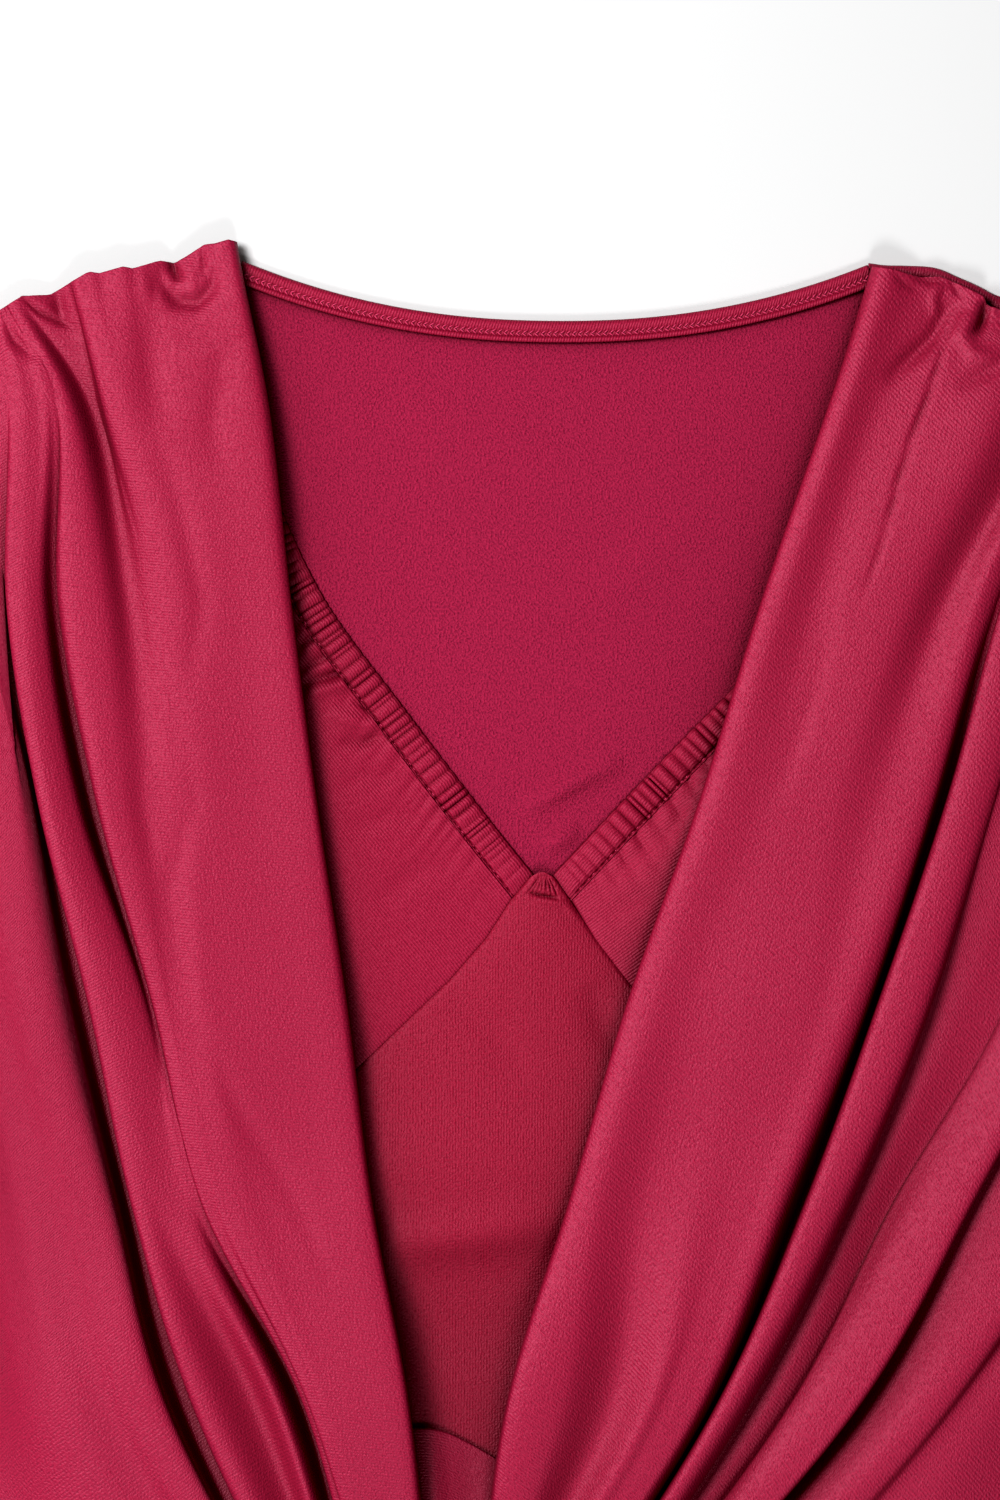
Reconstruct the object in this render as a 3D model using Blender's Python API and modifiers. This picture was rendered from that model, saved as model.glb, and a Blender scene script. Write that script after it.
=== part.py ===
"""A cowl neck mini dress, laid flat and face up on a table.

Axes: +X to the right as the dress is seen, +Y from the hem to the neck, +Z up from the
table. The origin is on the table, below the middle of the dress. Left and right are the
viewer's. All sizes below are in millimetres and become metres where a mesh is made.

The back lies flat. On it lie an inner front, which shows in the neck opening (two cups with
a gathered elastic edge and a pointed centre panel), and over that two cowl drapes. They are
gathered into the shoulder seams, cross in a twist below the waist and fan out into a skirt.
"""

import math

import bpy
import numpy as np

MM = 0.001
WALL = 1.2        # thickness of the cloth, with the air in its knit
SEAM_GAP = 0.3    # between two pieces that are sewn together

# ---- driving sizes -------------------------------------------------------------------
LENGTH = 860.0                       # shoulder to hem
HEM_Y = -LENGTH / 2
NECK = {"left": (-114.0, 423.0), "right": (117.5, 421.5)}
DRAPE_NECK = {"left": (-116.0, 430.0), "right": (119.0, 421.0)}
DRAPE_TIP = {"left": (-206.0, 403.0), "right": (206.0, 390.0)}
SHOULDER_TIP = {"left": (-206.0, 402.0), "right": (206.0, 399.0)}
ARMHOLE_BEND = {"left": (-207.0, 300.0), "right": (207.0, 296.0)}
UNDERARM = {"left": (-229.0, 190.0), "right": (229.0, 190.0)}
WAIST = {"left": (-208.0, -30.0), "right": (208.0, -30.0)}
HIP_SEAM = {"left": (-212.0, -125.0), "right": (212.0, -125.0)}
HIP_HALF, HIP_Y = 222.0, -230.0
HEM_HALF = 224.0
SCOOP_DROP = 21.5                    # depth of the back neck
SCOOP_POWER = 2.2
BINDING_WIDTH = 7.0

KNOT = (-35.0, -122.0)               # middle of the twist
KNOT_RADIUS = (42.0, 44.0)
KNOT_ARC = {"left": (100.0, 189.0), "right": (80.0, -9.0)}     # where each drape enters it
SKIRT_ARC = {"left": (195.0, 262.0), "right": (345.0, 278.0)}  # where the skirt leaves it

ELASTIC_WIDTH = 12.0
LEVELS = (298.0, 150.0, 2.0)         # heights at which the fold tables give a line's place

# ---- fold tables ---------------------------------------------------------------------
# One row for each ridge, valley or lip of a drape, from the neck opening outwards.
# start: 0 to 1 along the shoulder, 1 to 2 down the armhole.
# x298, x150, x2: where the line crosses those levels, if it does.
# end: 0 to 1 round the twist, 1 to 2 along the hip seam to the side.
# The last five columns are heights: at the start, at the three levels and at the end.
DRAPE_LEFT = [
    # name          start  x298    x150    x2     end    z0    z298  z150  z2    z1
    ("turned in",   0.06, -108.0,  -89.0,  -66.0, 0.05,  5.8,  7.4,  7.0, 10.6,  9.0),
    ("edge",        0.00,  -95.0,  -74.5,  -52.5, 0.01,  6.6,  9.0,  9.4, 13.0, 10.5),
    ("roll",        0.04,  -98.5,  -78.5,  -56.5, 0.06,  8.0, 12.0, 13.2, 17.0, 13.0),
    ("ridge b",     0.12, -107.0,  -88.0,  -59.5, 0.11,  7.6, 12.8, 14.4, 18.4, 14.0),
    ("valley b",    0.25, -113.5, -100.0,  -62.5, 0.16,  4.8, 11.6, 14.2, 18.4, 13.6),
    ("ridge c",     0.37, -119.0, -107.5,  -65.5, 0.20,  7.4, 13.0, 14.6, 18.2, 13.4),
    ("valley c",    0.48, -128.5, -113.5,  -68.5, 0.24,  4.8, 10.6, 14.2, 17.8, 13.0),
    ("ridge d",     0.60, -142.0, -118.5,  -71.5, 0.29,  7.6, 14.2, 14.8, 17.4, 13.0),
    ("valley e",    0.70, -159.0, -130.5,  -75.0, 0.34,  4.4,  5.6, 12.2, 17.6, 13.0),
    ("ridge f",     0.81, -170.0, -142.0,  -80.0, 0.42,  6.6, 13.4, 17.6, 20.0, 14.5),
    ("lip f",       0.86, -181.5, -148.0,  -91.5, 0.48,  5.4, 11.0, 14.6, 16.6, 12.0),
    ("valley g",    0.90, -185.5, -151.0,  -95.5, 0.52,  4.2,  4.8,  9.0,  5.6,  6.4),
    ("ridge h",     0.94, -193.0, -159.0, -106.5, 0.60,  6.0, 13.0, 15.4, 17.4, 13.0),
    ("valley h",    0.96, -195.5, -162.5, -117.0, 0.67,  5.6, 12.8, 15.8, 11.2,  9.0),
    ("ridge n",     0.99, -198.5, -166.5, -130.0, 0.75,  5.8, 12.0, 16.6, 17.0, 12.5),
    ("lip n",       1.05, -201.5, -171.5, -136.5, 0.80,  4.8,  9.6, 13.6, 13.6, 10.0),
    ("valley i",    1.15, -204.5, -175.5, -139.5, 0.84,  3.6,  4.8,  4.6,  4.8,  5.6),
    ("ridge j",     1.45,   None, -190.5, -152.0, 0.93,  5.0, None, 16.0, 17.4, 11.0),
    ("valley k",    1.62,   None, -200.0, -162.0, 1.06,  3.6, None, 11.0, 13.4,  8.0),
    ("ridge l",     1.78,   None, -209.0, -175.0, 1.26,  3.8, None, 11.6, 14.6,  9.0),
    ("valley m",    1.92,   None, -219.5, -191.0, 1.56,  3.0, None,  7.0,  9.0,  6.0),
    ("side",        2.00,   None, -225.5, -210.0, 2.00,  2.4, None,  2.4,  2.4,  2.4),
]
DRAPE_RIGHT = [
    # name          start  x298    x150    x2     end    z0    z298  z150  z2    z1
    ("turned in",   0.06,   93.0,   42.0,   -3.0, 0.05,  5.4,  7.0,  7.2, 10.6,  9.0),
    ("edge",        0.00,   79.5,   27.5,  -17.0, 0.01,  5.6,  8.4,  9.2, 13.0, 10.5),
    ("roll",        0.05,   85.0,   33.0,  -12.5, 0.06,  7.4, 13.0, 15.0, 18.6, 14.0),
    ("valley 1",    0.16,   95.0,   52.0,   13.5, 0.15,  4.8,  8.6, 12.6, 14.6, 11.0),
    ("ridge 2",     0.26,  107.0,   66.5,   26.0, 0.22,  7.6, 13.0, 15.6, 18.8, 14.0),
    ("valley 2",    0.39,  116.0,   79.0,   33.5, 0.28,  4.8, 11.0, 14.6, 17.4, 12.0),
    ("ridge 3",     0.51,  126.0,   89.0,   47.0, 0.35,  7.8, 14.2, 17.0, 19.6, 14.0),
    ("valley 3",    0.74,  139.0,  103.5,   51.5, 0.40,  4.4,  7.6, 16.2, 18.8, 13.0),
    ("ridge 4",     0.84,  148.5,  109.5,   54.5, 0.43,  6.8, 13.0, 16.4, 17.8, 12.6),
    ("shoulder 4",  0.92,  161.0,  115.0,   57.0, 0.46,  6.2, 11.0, 12.0, 12.8, 10.0),
    ("black 5",     1.03,  168.0,  119.5,   60.0, 0.49,  4.2,  6.4,  4.8,  6.2,  6.0),
    ("lip 5",       1.08,  170.5,  123.5,   62.5, 0.52,  4.6,  9.0, 14.6, 15.8, 11.6),
    ("ridge 5",     1.13,  177.0,  130.0,   66.5, 0.56,  5.8, 11.8, 18.8, 19.6, 14.6),
    ("drop 5",      1.22,  184.0,  138.5,   72.0, 0.60,  5.2,  9.8, 14.4, 15.0, 11.0),
    ("valley 6",    1.32,  193.0,  144.5,   76.0, 0.64,  3.6,  5.6,  6.0,  7.2,  6.4),
    ("floor 6",     1.42,  200.0,  152.0,   86.5, 0.70,  3.6,  5.0,  6.4,  8.0,  7.0),
    ("ridge 7",     1.58,   None,  178.0,   99.0, 0.78,  5.2, None, 16.4, 20.6, 15.0),
    ("edge 7",      1.76,   None,  195.0,  112.5, 0.87,  5.0, None, 15.4, 19.0, 13.4),
    ("black 8",     1.84,   None,  200.5,  116.0, 0.91,  3.6, None,  5.4,  5.2,  6.0),
    ("ridge 8",     1.89,   None,  206.0,  138.0, 1.04,  4.0, None,  9.6, 17.6, 11.0),
    ("valley 9",    1.92,   None,  211.0,  152.5, 1.18,  3.6, None,  8.0,  9.2,  7.6),
    ("ridge 9",     1.95,   None,  216.0,  172.0, 1.36,  3.6, None,  7.0, 13.6,  9.0),
    ("flat 10",     1.98,   None,  220.5,  191.0, 1.62,  2.8, None,  4.8,  8.0,  6.6),
    ("side",        2.00,   None,  225.5,  209.0, 2.00,  2.4, None,  2.4,  2.4,  2.4),
]
# One row for each skirt line, from the left side to the right.
# top: as the end column above, left negative; hem: x at the hem; then three heights.
SKIRT = [
    # name        top     hem     z0    zmid  zhem
    ("side",     -2.00, -224.0,   2.4,  2.4,  2.4),
    ("flat a",   -1.62, -204.0,   5.6,  5.4,  4.4),
    ("valley a", -1.30, -180.0,   4.2,  3.8,  3.6),
    ("ridge a",  -1.06, -158.0,   8.6,  8.0,  5.0),
    ("valley b", -0.97, -139.0,   5.0,  4.4,  3.6),
    ("ridge b",  -0.82, -118.0,  11.0,  9.4,  5.6),
    ("valley c", -0.70,  -99.0,   5.4,  4.4,  3.6),
    ("ridge c",  -0.55,  -82.0,  12.0, 10.2,  5.8),
    ("valley d", -0.40,  -66.0,   5.6,  4.6,  3.6),
    ("ridge d",  -0.22,  -50.0,  12.0, 10.6,  5.8),
    ("valley e", -0.04,  -32.0,   6.0,  5.0,  3.8),
    ("ridge e",   0.12,  -14.0,  11.0,  9.6,  5.4),
    ("valley f",  0.26,    6.0,   5.8,  4.6,  3.6),
    ("ridge f",   0.42,   28.0,  12.0, 10.4,  5.8),
    ("valley g",  0.56,   50.0,   5.4,  4.4,  3.6),
    ("ridge g",   0.72,   74.0,  12.0,  9.8,  5.6),
    ("valley h",  0.86,   98.0,   5.2,  4.2,  3.6),
    ("ridge h",   1.00,  124.0,   9.6,  8.2,  5.2),
    ("valley i",  1.18,  148.0,   4.4,  4.0,  3.6),
    ("ridge i",   1.40,  174.0,   6.6,  6.4,  4.8),
    ("flat j",    1.70,  200.0,   4.6,  4.4,  4.0),
    ("side",      2.00,  224.0,   2.4,  2.4,  2.4),
]
# The inner neckline from its point up to where a drape hides it, then to the shoulder.
INNER_EDGE = {
    "left": [(-7.0, 197.0), (-25.0, 219.5), (-54.0, 257.5), (-83.0, 297.0), (-101.0, 334.0),
             (-108.0, 352.0)],
    "right": [(2.2, 197.0), (24.0, 220.0), (50.0, 247.0), (74.0, 272.0), (90.0, 296.0),
              (104.0, 330.0)],
}
ELASTIC_WAVES = {"left": 38, "right": 32}
ELASTIC_SWELL = {"left": 0.8, "right": 0.6}
SHOWN_SHARE = {"left": 0.74, "right": 0.66}     # of the elastic's length
HIDDEN_ROWS = 6
INNER_TIP = {"left": (-124.0, 416.0), "right": (125.0, 412.0)}
# The outer edge of the inner front, from the diagonal seam up to the shoulder.
INNER_SIDE = {
    "left": [(-188.0, 18.0), (-198.0, 100.0), (-206.0, 190.0), (-190.0, 296.0), (-178.0, 402.0)],
    "right": [(188.0, 18.0), (198.0, 100.0), (206.0, 190.0), (190.0, 292.0), (176.0, 394.0)],
}
# The seam between each cup and the centre panel, from the point of the neckline outwards.
CUP_SEAM = {
    "left": [(-8.0, 194.8), (-15.0, 186.3), (-23.5, 173.0), (-37.0, 157.5), (-62.0, 133.5),
             (-112.0, 86.0)],
    "right": [(2.0, 194.8), (8.5, 185.2), (16.7, 172.6), (29.6, 155.6), (56.0, 126.0),
              (112.0, 78.0)],
}
TIP_ROUND = 2.6                      # how far the centre panel's tip stands above its seams
CENTRE_BOTTOM_Y = -66.0
CROWN = 1.2                          # how far the inner front swells between its edges
TUCK_EDGE = [(-66.0, -11.0), (-52.0, -8.0), (-40.0, -9.0), (-22.0, -18.0), (-10.0, -26.0)]
TUCK_FOLDS = (0.0, 0.8, 2.2, 3.0, 1.2, 0.2, 1.0, 0.8, 0.0)    # heights, from left to right
# Sleeve: the middle and half width of the wrist, and how far the edges bow outwards.
WRIST = {"left": (-489.0, -108.0), "right": (489.0, -122.0)}
WRIST_HALF = 56.0
SLEEVE_BOW = 16.0
SLEEVE_INSET = 0.012                 # how far the folded edges stay inside the outline
GATHER_FADE_ROWS = 22.0              # over which the elastic's gathers grow from its point
CUP_Z = 1.8                          # underside of the inner front


# ---- curves and grids ----------------------------------------------------------------
def hermite(p, knots, spans):
    """Points on smooth cubic pieces through p. p is (n, ..., 3), knots (n, ...); spans is a
    list of (piece, fraction). Each tangent is the slope of both neighbours, the nearer one
    counting more, so wide faces next to sharp folds don't overshoot."""
    k = knots[..., None]
    step = np.diff(k, axis=0)
    slope = np.diff(p, axis=0) / step
    tangent = np.empty_like(p)
    tangent[1:-1] = (slope[:-1] * step[1:] + slope[1:] * step[:-1]) / (step[:-1] + step[1:])
    tangent[0], tangent[-1] = slope[0], slope[-1]
    out = []
    for j, f in spans:
        h = step[j]
        out.append((2 * f**3 - 3 * f**2 + 1) * p[j] + (f**3 - 2 * f**2 + f) * h * tangent[j]
                   + (3 * f**2 - 2 * f**3) * p[j + 1] + (f**3 - f**2) * h * tangent[j + 1])
    return np.array(out)


def knots_of(p):
    """Running sum of the square roots of the distances between successive points."""
    step = np.sqrt(np.linalg.norm(np.diff(p, axis=0), axis=-1)) + 1e-6
    return np.concatenate([np.zeros_like(step[:1]), np.cumsum(step, axis=0)])


def along(points, count):
    """count points on a smooth curve through the given ones, evenly by knot."""
    p = np.array(points, float)
    k = knots_of(p)
    at = np.linspace(0, k[-1], count)
    piece = np.clip(np.searchsorted(k, at, side="right") - 1, 0, len(k) - 2)
    spans = [(j, (a - k[j]) / (k[j + 1] - k[j])) for j, a in zip(piece, at)]
    return hermite(p, k, spans)


def across(lines, per_span):
    """The grid (columns, rows, 3) of a surface through a list of lines of equal length."""
    p = np.array(lines)
    spans = [(j, i / per_span) for j in range(len(p) - 1) for i in range(per_span)]
    spans.append((len(p) - 2, 1.0))
    return hermite(p, knots_of(p), spans)


def on_path(path, at):
    """The point, or points, at a fraction of the length of a path of straight runs."""
    p = np.array(path, float)
    run = np.concatenate([[0], np.cumsum(np.linalg.norm(np.diff(p, axis=0), axis=1))])
    return np.stack([np.interp(at * run[-1], run, p[:, i]) for i in range(p.shape[1])], axis=-1)


def mix(a, b, t):
    """The point at t between a and b."""
    return np.array(a, float) * (1 - t) + np.array(b, float) * t


# ---- outlines ------------------------------------------------------------------------
def armhole(side, count=9, tip=SHOULDER_TIP):
    """The armhole curve from the shoulder tip to the underarm, on the table."""
    return along([tip[side], ARMHOLE_BEND[side], UNDERARM[side]], count)


def side_seam(side, count=9):
    """The side seam from the underarm to the hip seam."""
    return along([UNDERARM[side], WAIST[side], HIP_SEAM[side]], count)


def outer_point(side, start):
    """A point of the drape's outer edge: along the shoulder, then down the armhole."""
    if start <= 1:
        return mix(DRAPE_NECK[side], DRAPE_TIP[side], start)
    return on_path(armhole(side, tip=DRAPE_TIP), start - 1)


def half_width(side, y):
    """How far the armhole and the side seam lie from the middle at a height."""
    path = np.vstack([armhole(side, 25), side_seam(side, 25)[1:]])[::-1]
    return np.abs(np.interp(y, path[:, 1], path[:, 0]))


def knot_point(angle, grow=0.0):
    """A point of the oval in which the folds meet."""
    turn = math.radians(angle)
    return np.array([KNOT[0] + (KNOT_RADIUS[0] + grow) * math.cos(turn),
                     KNOT[1] + (KNOT_RADIUS[1] + grow) * math.sin(turn)])


def lower_point(side, end):
    """A point of the drape's lower edge: round the twist, then out along the hip seam."""
    first, last = KNOT_ARC[side]
    if end <= 1:
        return knot_point(first + (last - first) * end)
    return mix(knot_point(last), HIP_SEAM[side], end - 1)


def skirt_top(top):
    """A point of the skirt's upper edge, a seam's gap below the drapes."""
    side = "left" if top < 0 else "right"
    first, last = SKIRT_ARC[side]
    drop = np.array([0.0, -SEAM_GAP * 2])
    if abs(top) <= 1:
        return knot_point(last + (first - last) * abs(top))
    return mix(knot_point(first) + drop, HIP_SEAM[side] + drop, abs(top) - 1)


def scoop(t):
    """The back neck's edge, t from -1 at the left shoulder to 1 at the right."""
    x, y = mix(NECK["left"], NECK["right"], (t + 1) / 2)
    return np.array([x, y - SCOOP_DROP * (1 - abs(t) ** SCOOP_POWER)])


# ---- surfaces ------------------------------------------------------------------------
def drape_grid(table, side, rows, per_span):
    """A cowl drape, as a surface through the fold lines of its table."""
    lines = []
    for _, start, *numbers in table:
        crossings, end, heights = numbers[:3], numbers[3], numbers[4:]
        points = [(*outer_point(side, start), heights[0])]
        points += [(x, y, z) for x, y, z in zip(crossings, LEVELS, heights[1:4]) if x is not None]
        points.append((*lower_point(side, end), heights[4]))
        lines.append(along(points, rows))
    grid = across(lines, per_span)
    limit = half_width(side, grid[..., 1]) - SEAM_GAP * 3
    grid[..., 0] = np.clip(grid[..., 0], -limit, limit)
    return grid


def skirt_grid(rows, per_span):
    """The skirt's front, fanning out from the twist to the hem."""
    lines = []
    for _, top, hem, z_top, z_middle, z_hem in SKIRT:
        x, y = skirt_top(top)
        middle = mix((x, y), (hem, HEM_Y), 0.45)
        if abs(top) == 2.0:
            middle = np.array([math.copysign(HIP_HALF, top), HIP_Y])
        lines.append(along([(x, y, z_top), (*middle, z_middle), (hem, HEM_Y, z_hem)], rows))
    return across(lines, per_span)


def strap_grid(start_arc, end_arc, pleats, rows, rise, pinch, depth, z_end):
    """One half of the twist: a pleated strap across the oval, drawn together in the middle.
    It rises in an arch, and each second line stands up as a pleat."""
    out = []
    t = np.linspace(0, 1, rows)
    arch = np.sin(math.pi * t)
    lines = 2 * pleats + 1
    for i in range(lines):
        share = i / (lines - 1)
        a = knot_point(start_arc[0] + (start_arc[1] - start_arc[0]) * share, -SEAM_GAP * 3)
        b = knot_point(end_arc[0] + (end_arc[1] - end_arc[0]) * share, -SEAM_GAP * 3)
        xy = a + (b - a) * t[:, None]
        xy = xy + (np.array(KNOT) - xy) * (pinch * arch**1.5)[:, None]
        crown = rise * (1 - abs(2 * share - 1) ** 2.5) * arch**0.5
        out.append(np.column_stack([xy, z_end + crown + depth * (i % 2) * (0.3 + 0.7 * arch)]))
    return across(out, 2)


def elastic_edge(side):
    """The edge of the inner neckline, and the unit vector from it into the cup."""
    shown = np.linspace(0, SHOWN_SHARE[side], ELASTIC_WAVES[side] * 2 + 1)
    hidden = np.linspace(SHOWN_SHARE[side], 1, HIDDEN_ROWS + 1)[1:]
    edge = on_path(along([*INNER_EDGE[side], INNER_TIP[side]], 161), np.concatenate([shown, hidden]))
    run = np.gradient(edge, axis=0)
    run /= np.linalg.norm(run, axis=1)[:, None]
    turn = 1 if side == "left" else -1
    return edge, turn * np.column_stack([-run[:, 1], run[:, 0]])


def elastic_grid(side):
    """The gathered casing: it swells and falls with each gather, less at its two edges and
    towards the point, and lies plain where a drape hides it."""
    edge, inward = elastic_edge(side)
    count = np.arange(len(edge))
    shown = len(edge) - HIDDEN_ROWS
    wave = np.where(count < shown, (-1.0) ** count, 0.0)
    fade = np.clip(count / GATHER_FADE_ROWS, 0.25, 1.0)
    plain = np.clip((len(edge) - 1 - count) / HIDDEN_ROWS, 0.0, 1.0) ** 2
    out = []
    for share, swell, height in ((0.0, 0.4, 2.2), (0.5, 1.0, 3.2), (1.0, 0.6, 2.4)):
        xy = edge + inward * ELASTIC_WIDTH * share
        z = 1.7 + (height - 1.7) * plain + wave * fade * swell * ELASTIC_SWELL[side]
        out.append(np.column_stack([xy, z]))
    return np.array(out)


def cup_grid(side, rows=13, columns=7):
    """A cup of the inner front: between the elastic, the seam to the centre panel, the side
    and the shoulder, each given as a curve, with a low crown."""
    edge, inward = elastic_edge(side)
    neck = on_path(edge + inward * (ELASTIC_WIDTH + SEAM_GAP * 2), np.linspace(0, 1, rows))
    outer = along(INNER_SIDE[side], rows)
    sign = -1 if side == "left" else 1
    seam = [neck[0], *(np.array(CUP_SEAM[side][2:]) + (sign * SEAM_GAP, SEAM_GAP)), outer[0]]
    u = np.linspace(0, 1, rows)[:, None]
    out = []
    for s in np.linspace(0, 1, columns):
        pull = on_path(seam, s) - mix(neck[0], outer[0], s)
        xy = neck * (1 - s) + outer * s + pull * (1 - u)
        z = CUP_Z + CROWN * np.sin(math.pi * s) * np.sin(math.pi * u[:, 0])
        out.append(np.column_stack([xy, z]))
    return np.array(out)


def centre_grid(rows=15, columns=7):
    """The centre panel: a rounded point, then as wide as the two cup seams let it be."""
    left = np.array([*CUP_SEAM["left"], INNER_SIDE["left"][0], (-190.0, CENTRE_BOTTOM_Y)])
    right = np.array([*CUP_SEAM["right"], INNER_SIDE["right"][0], (190.0, CENTRE_BOTTOM_Y)])
    top = min(left[0, 1], right[0, 1])
    down = np.linspace(0, 1, rows) ** 1.4
    y = top + (CENTRE_BOTTOM_Y - top) * down
    x_left = np.interp(-y, -left[:, 1], left[:, 0]) + SEAM_GAP * 2
    x_right = np.interp(-y, -right[:, 1], right[:, 0]) - SEAM_GAP * 2
    out = []
    for s in np.linspace(0, 1, columns):
        tip = TIP_ROUND * math.sin(math.pi * s) * (1 - down) ** 6
        z = CUP_Z + CROWN * math.sin(math.pi * s) * np.sin(math.pi * np.minimum(down * 1.5, 1.0))
        out.append(np.column_stack([x_left * (1 - s) + x_right * s, y + tip, z]))
    return np.array(out)


def tuck_grid(rows=7):
    """The strip of drape at the foot of the neck opening. Its edge rests on the centre panel,
    and from there it climbs into the twist in two soft folds."""
    columns = len(TUCK_FOLDS)
    top = along(TUCK_EDGE, columns)
    u = np.linspace(0, 1, rows)
    out = []
    for j, fold in enumerate(TUCK_FOLDS):
        foot = knot_point(112.0 - 46.0 * j / (columns - 1), 3.0)
        xy = top[j] + (foot - top[j]) * u[:, None]
        out.append(np.column_stack([xy, 3.9 + 2.5 * u + fold * np.sin(math.pi * (0.15 + 0.7 * u))]))
    return np.array(out)


def binding_grid(rows=29):
    """The turned edge of the back neck: a flat band with a rounded top edge."""
    t = np.linspace(-1, 1, rows)
    edge = np.array([scoop(v) for v in t])
    run = np.gradient(edge, axis=0)
    run /= np.linalg.norm(run, axis=1)[:, None]
    inward = np.column_stack([run[:, 1], -run[:, 0]])
    out = [np.column_stack([edge + inward * BINDING_WIDTH * s, np.full(rows, z)])
           for s, z in ((0.0, 1.5), (0.25, 1.9), (1.0, 1.6))]
    return np.array(out)


def sleeve_grid(side, rows=13, top_columns=9, low_columns=5):
    """A long sleeve laid flat: an open tube between the armhole and the wrist. Its lines run
    lengthways, first those of the upper layer and then, coming back, those on the table."""
    sign = -1 if side == "left" else 1
    wrist = np.array(WRIST[side])
    tip, under = np.array(SHOULDER_TIP[side]), np.array(UNDERARM[side])
    axis = wrist - (tip + under) / 2
    axis /= np.linalg.norm(axis)
    normal = np.array([-axis[1], axis[0]]) * sign
    wrist_top, wrist_low = wrist + normal * WRIST_HALF, wrist - normal * WRIST_HALF
    s = np.linspace(0, 1, rows)[:, None]
    gap = np.array([sign * (SEAM_GAP + WALL), 0.0])        # its wall leans in at the folds
    bow = np.sin(math.pi * s) * SLEEVE_BOW
    top_edge = tip * (1 - s) + wrist_top * s + normal * bow
    low_edge = under * (1 - s) + wrist_low * s + normal * bow * 0.5
    head = armhole(side)

    def point_row(w):
        """A row of points from the armhole to the wrist at share w between the two edges."""
        straight = top_edge * (1 - w) + low_edge * w
        lift = on_path(head, w) - (tip * (1 - w) + under * w)
        return straight + lift * (1 - s) + gap

    ring = []
    for w in np.linspace(0, 1, top_columns):
        fold = 0.3 + 1.8 * math.sin(math.pi * w) ** 0.5 + 1.2 * math.sin(3 * math.pi * w) ** 2
        z = 2.9 + (0.0 if w in (0, 1) else fold) * (0.55 + 0.45 * np.cos(math.pi * s[:, 0]) ** 2)
        ring.append(np.column_stack([point_row(SLEEVE_INSET + (1 - 2 * SLEEVE_INSET) * w), z]))
    for w in np.linspace(1, 0, low_columns):
        xy = point_row(SLEEVE_INSET + (1 - 2 * SLEEVE_INSET) * w)
        ring.append(np.column_stack([xy, np.zeros(rows)]))
    return np.array(ring)


# ---- Blender objects -----------------------------------------------------------------
def clear_scene():
    """Removes the startup objects."""
    for obj in list(bpy.data.objects):
        bpy.data.objects.remove(obj, do_unlink=True)


def satin_knit(name, colour, roughness):
    """A dyed satin-faced stretch knit."""
    material = bpy.data.materials.new(name)
    material.use_nodes = True
    shader = material.node_tree.nodes["Principled BSDF"]
    shader.inputs["Base Color"].default_value = (*colour, 1.0)
    shader.inputs["Roughness"].default_value = roughness
    shader.inputs["Metallic"].default_value = 0.0
    return material


def link(obj, material, collection):
    """Puts a piece in the dress's collection with its cloth."""
    obj.data.materials.append(material)
    collection.objects.link(obj)
    return obj


def cloth(name, grid, material, collection, grow=0.0, ring=False):
    """A wall of cloth from a grid of points (columns, rows, 3), given its thickness by
    Solidify. grow is 0 for a middle surface, 1 for an underside and -1 for an outside."""
    columns, rows = grid.shape[:2]
    last = columns if ring else columns - 1
    quads = []
    for i in range(last):
        a, b = i * rows, ((i + 1) % columns) * rows
        quads += [(a + j, b + j, b + j + 1, a + j + 1) for j in range(rows - 1)]
    mesh = bpy.data.meshes.new(name)
    mesh.from_pydata((grid.reshape(-1, 3) * MM).tolist(), [], quads)
    middle = columns // 4
    first = grid[middle + 1, 0] - grid[middle, 0]
    second = grid[middle, 1] - grid[middle, 0]
    if np.cross(first, second)[2] < 0:
        mesh.flip_normals()
    mesh.shade_smooth()
    obj = link(bpy.data.objects.new(name, mesh), material, collection)
    wall = obj.modifiers.new("wall", "SOLIDIFY")
    wall.thickness = WALL * MM
    wall.offset = grow
    return obj


def back_panel(material, collection):
    """The whole back in one flat piece: scoop, shoulders, armholes, side seams and hem."""
    neck = [scoop(t) for t in np.linspace(-1, 1, 25)]
    right = [*armhole("right"), *side_seam("right")[1:], (HIP_HALF, HIP_Y), (HEM_HALF, HEM_Y)]
    left = [*armhole("left"), *side_seam("left")[1:], (-HIP_HALF, HIP_Y), (-HEM_HALF, HEM_Y)]
    outline = [*neck, *right, *left[::-1]]
    curve = bpy.data.curves.new("back", "CURVE")
    curve.dimensions = "2D"
    curve.fill_mode = "BOTH"
    curve.extrude = WALL / 2 * MM
    spline = curve.splines.new("POLY")
    spline.points.add(len(outline) - 1)
    spline.use_cyclic_u = True
    for point, (x, y) in zip(spline.points, outline):
        point.co = (x * MM, y * MM, 0.0, 1.0)
    obj = link(bpy.data.objects.new("back", curve), material, collection)
    obj.location.z = WALL / 2 * MM
    return obj


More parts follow.
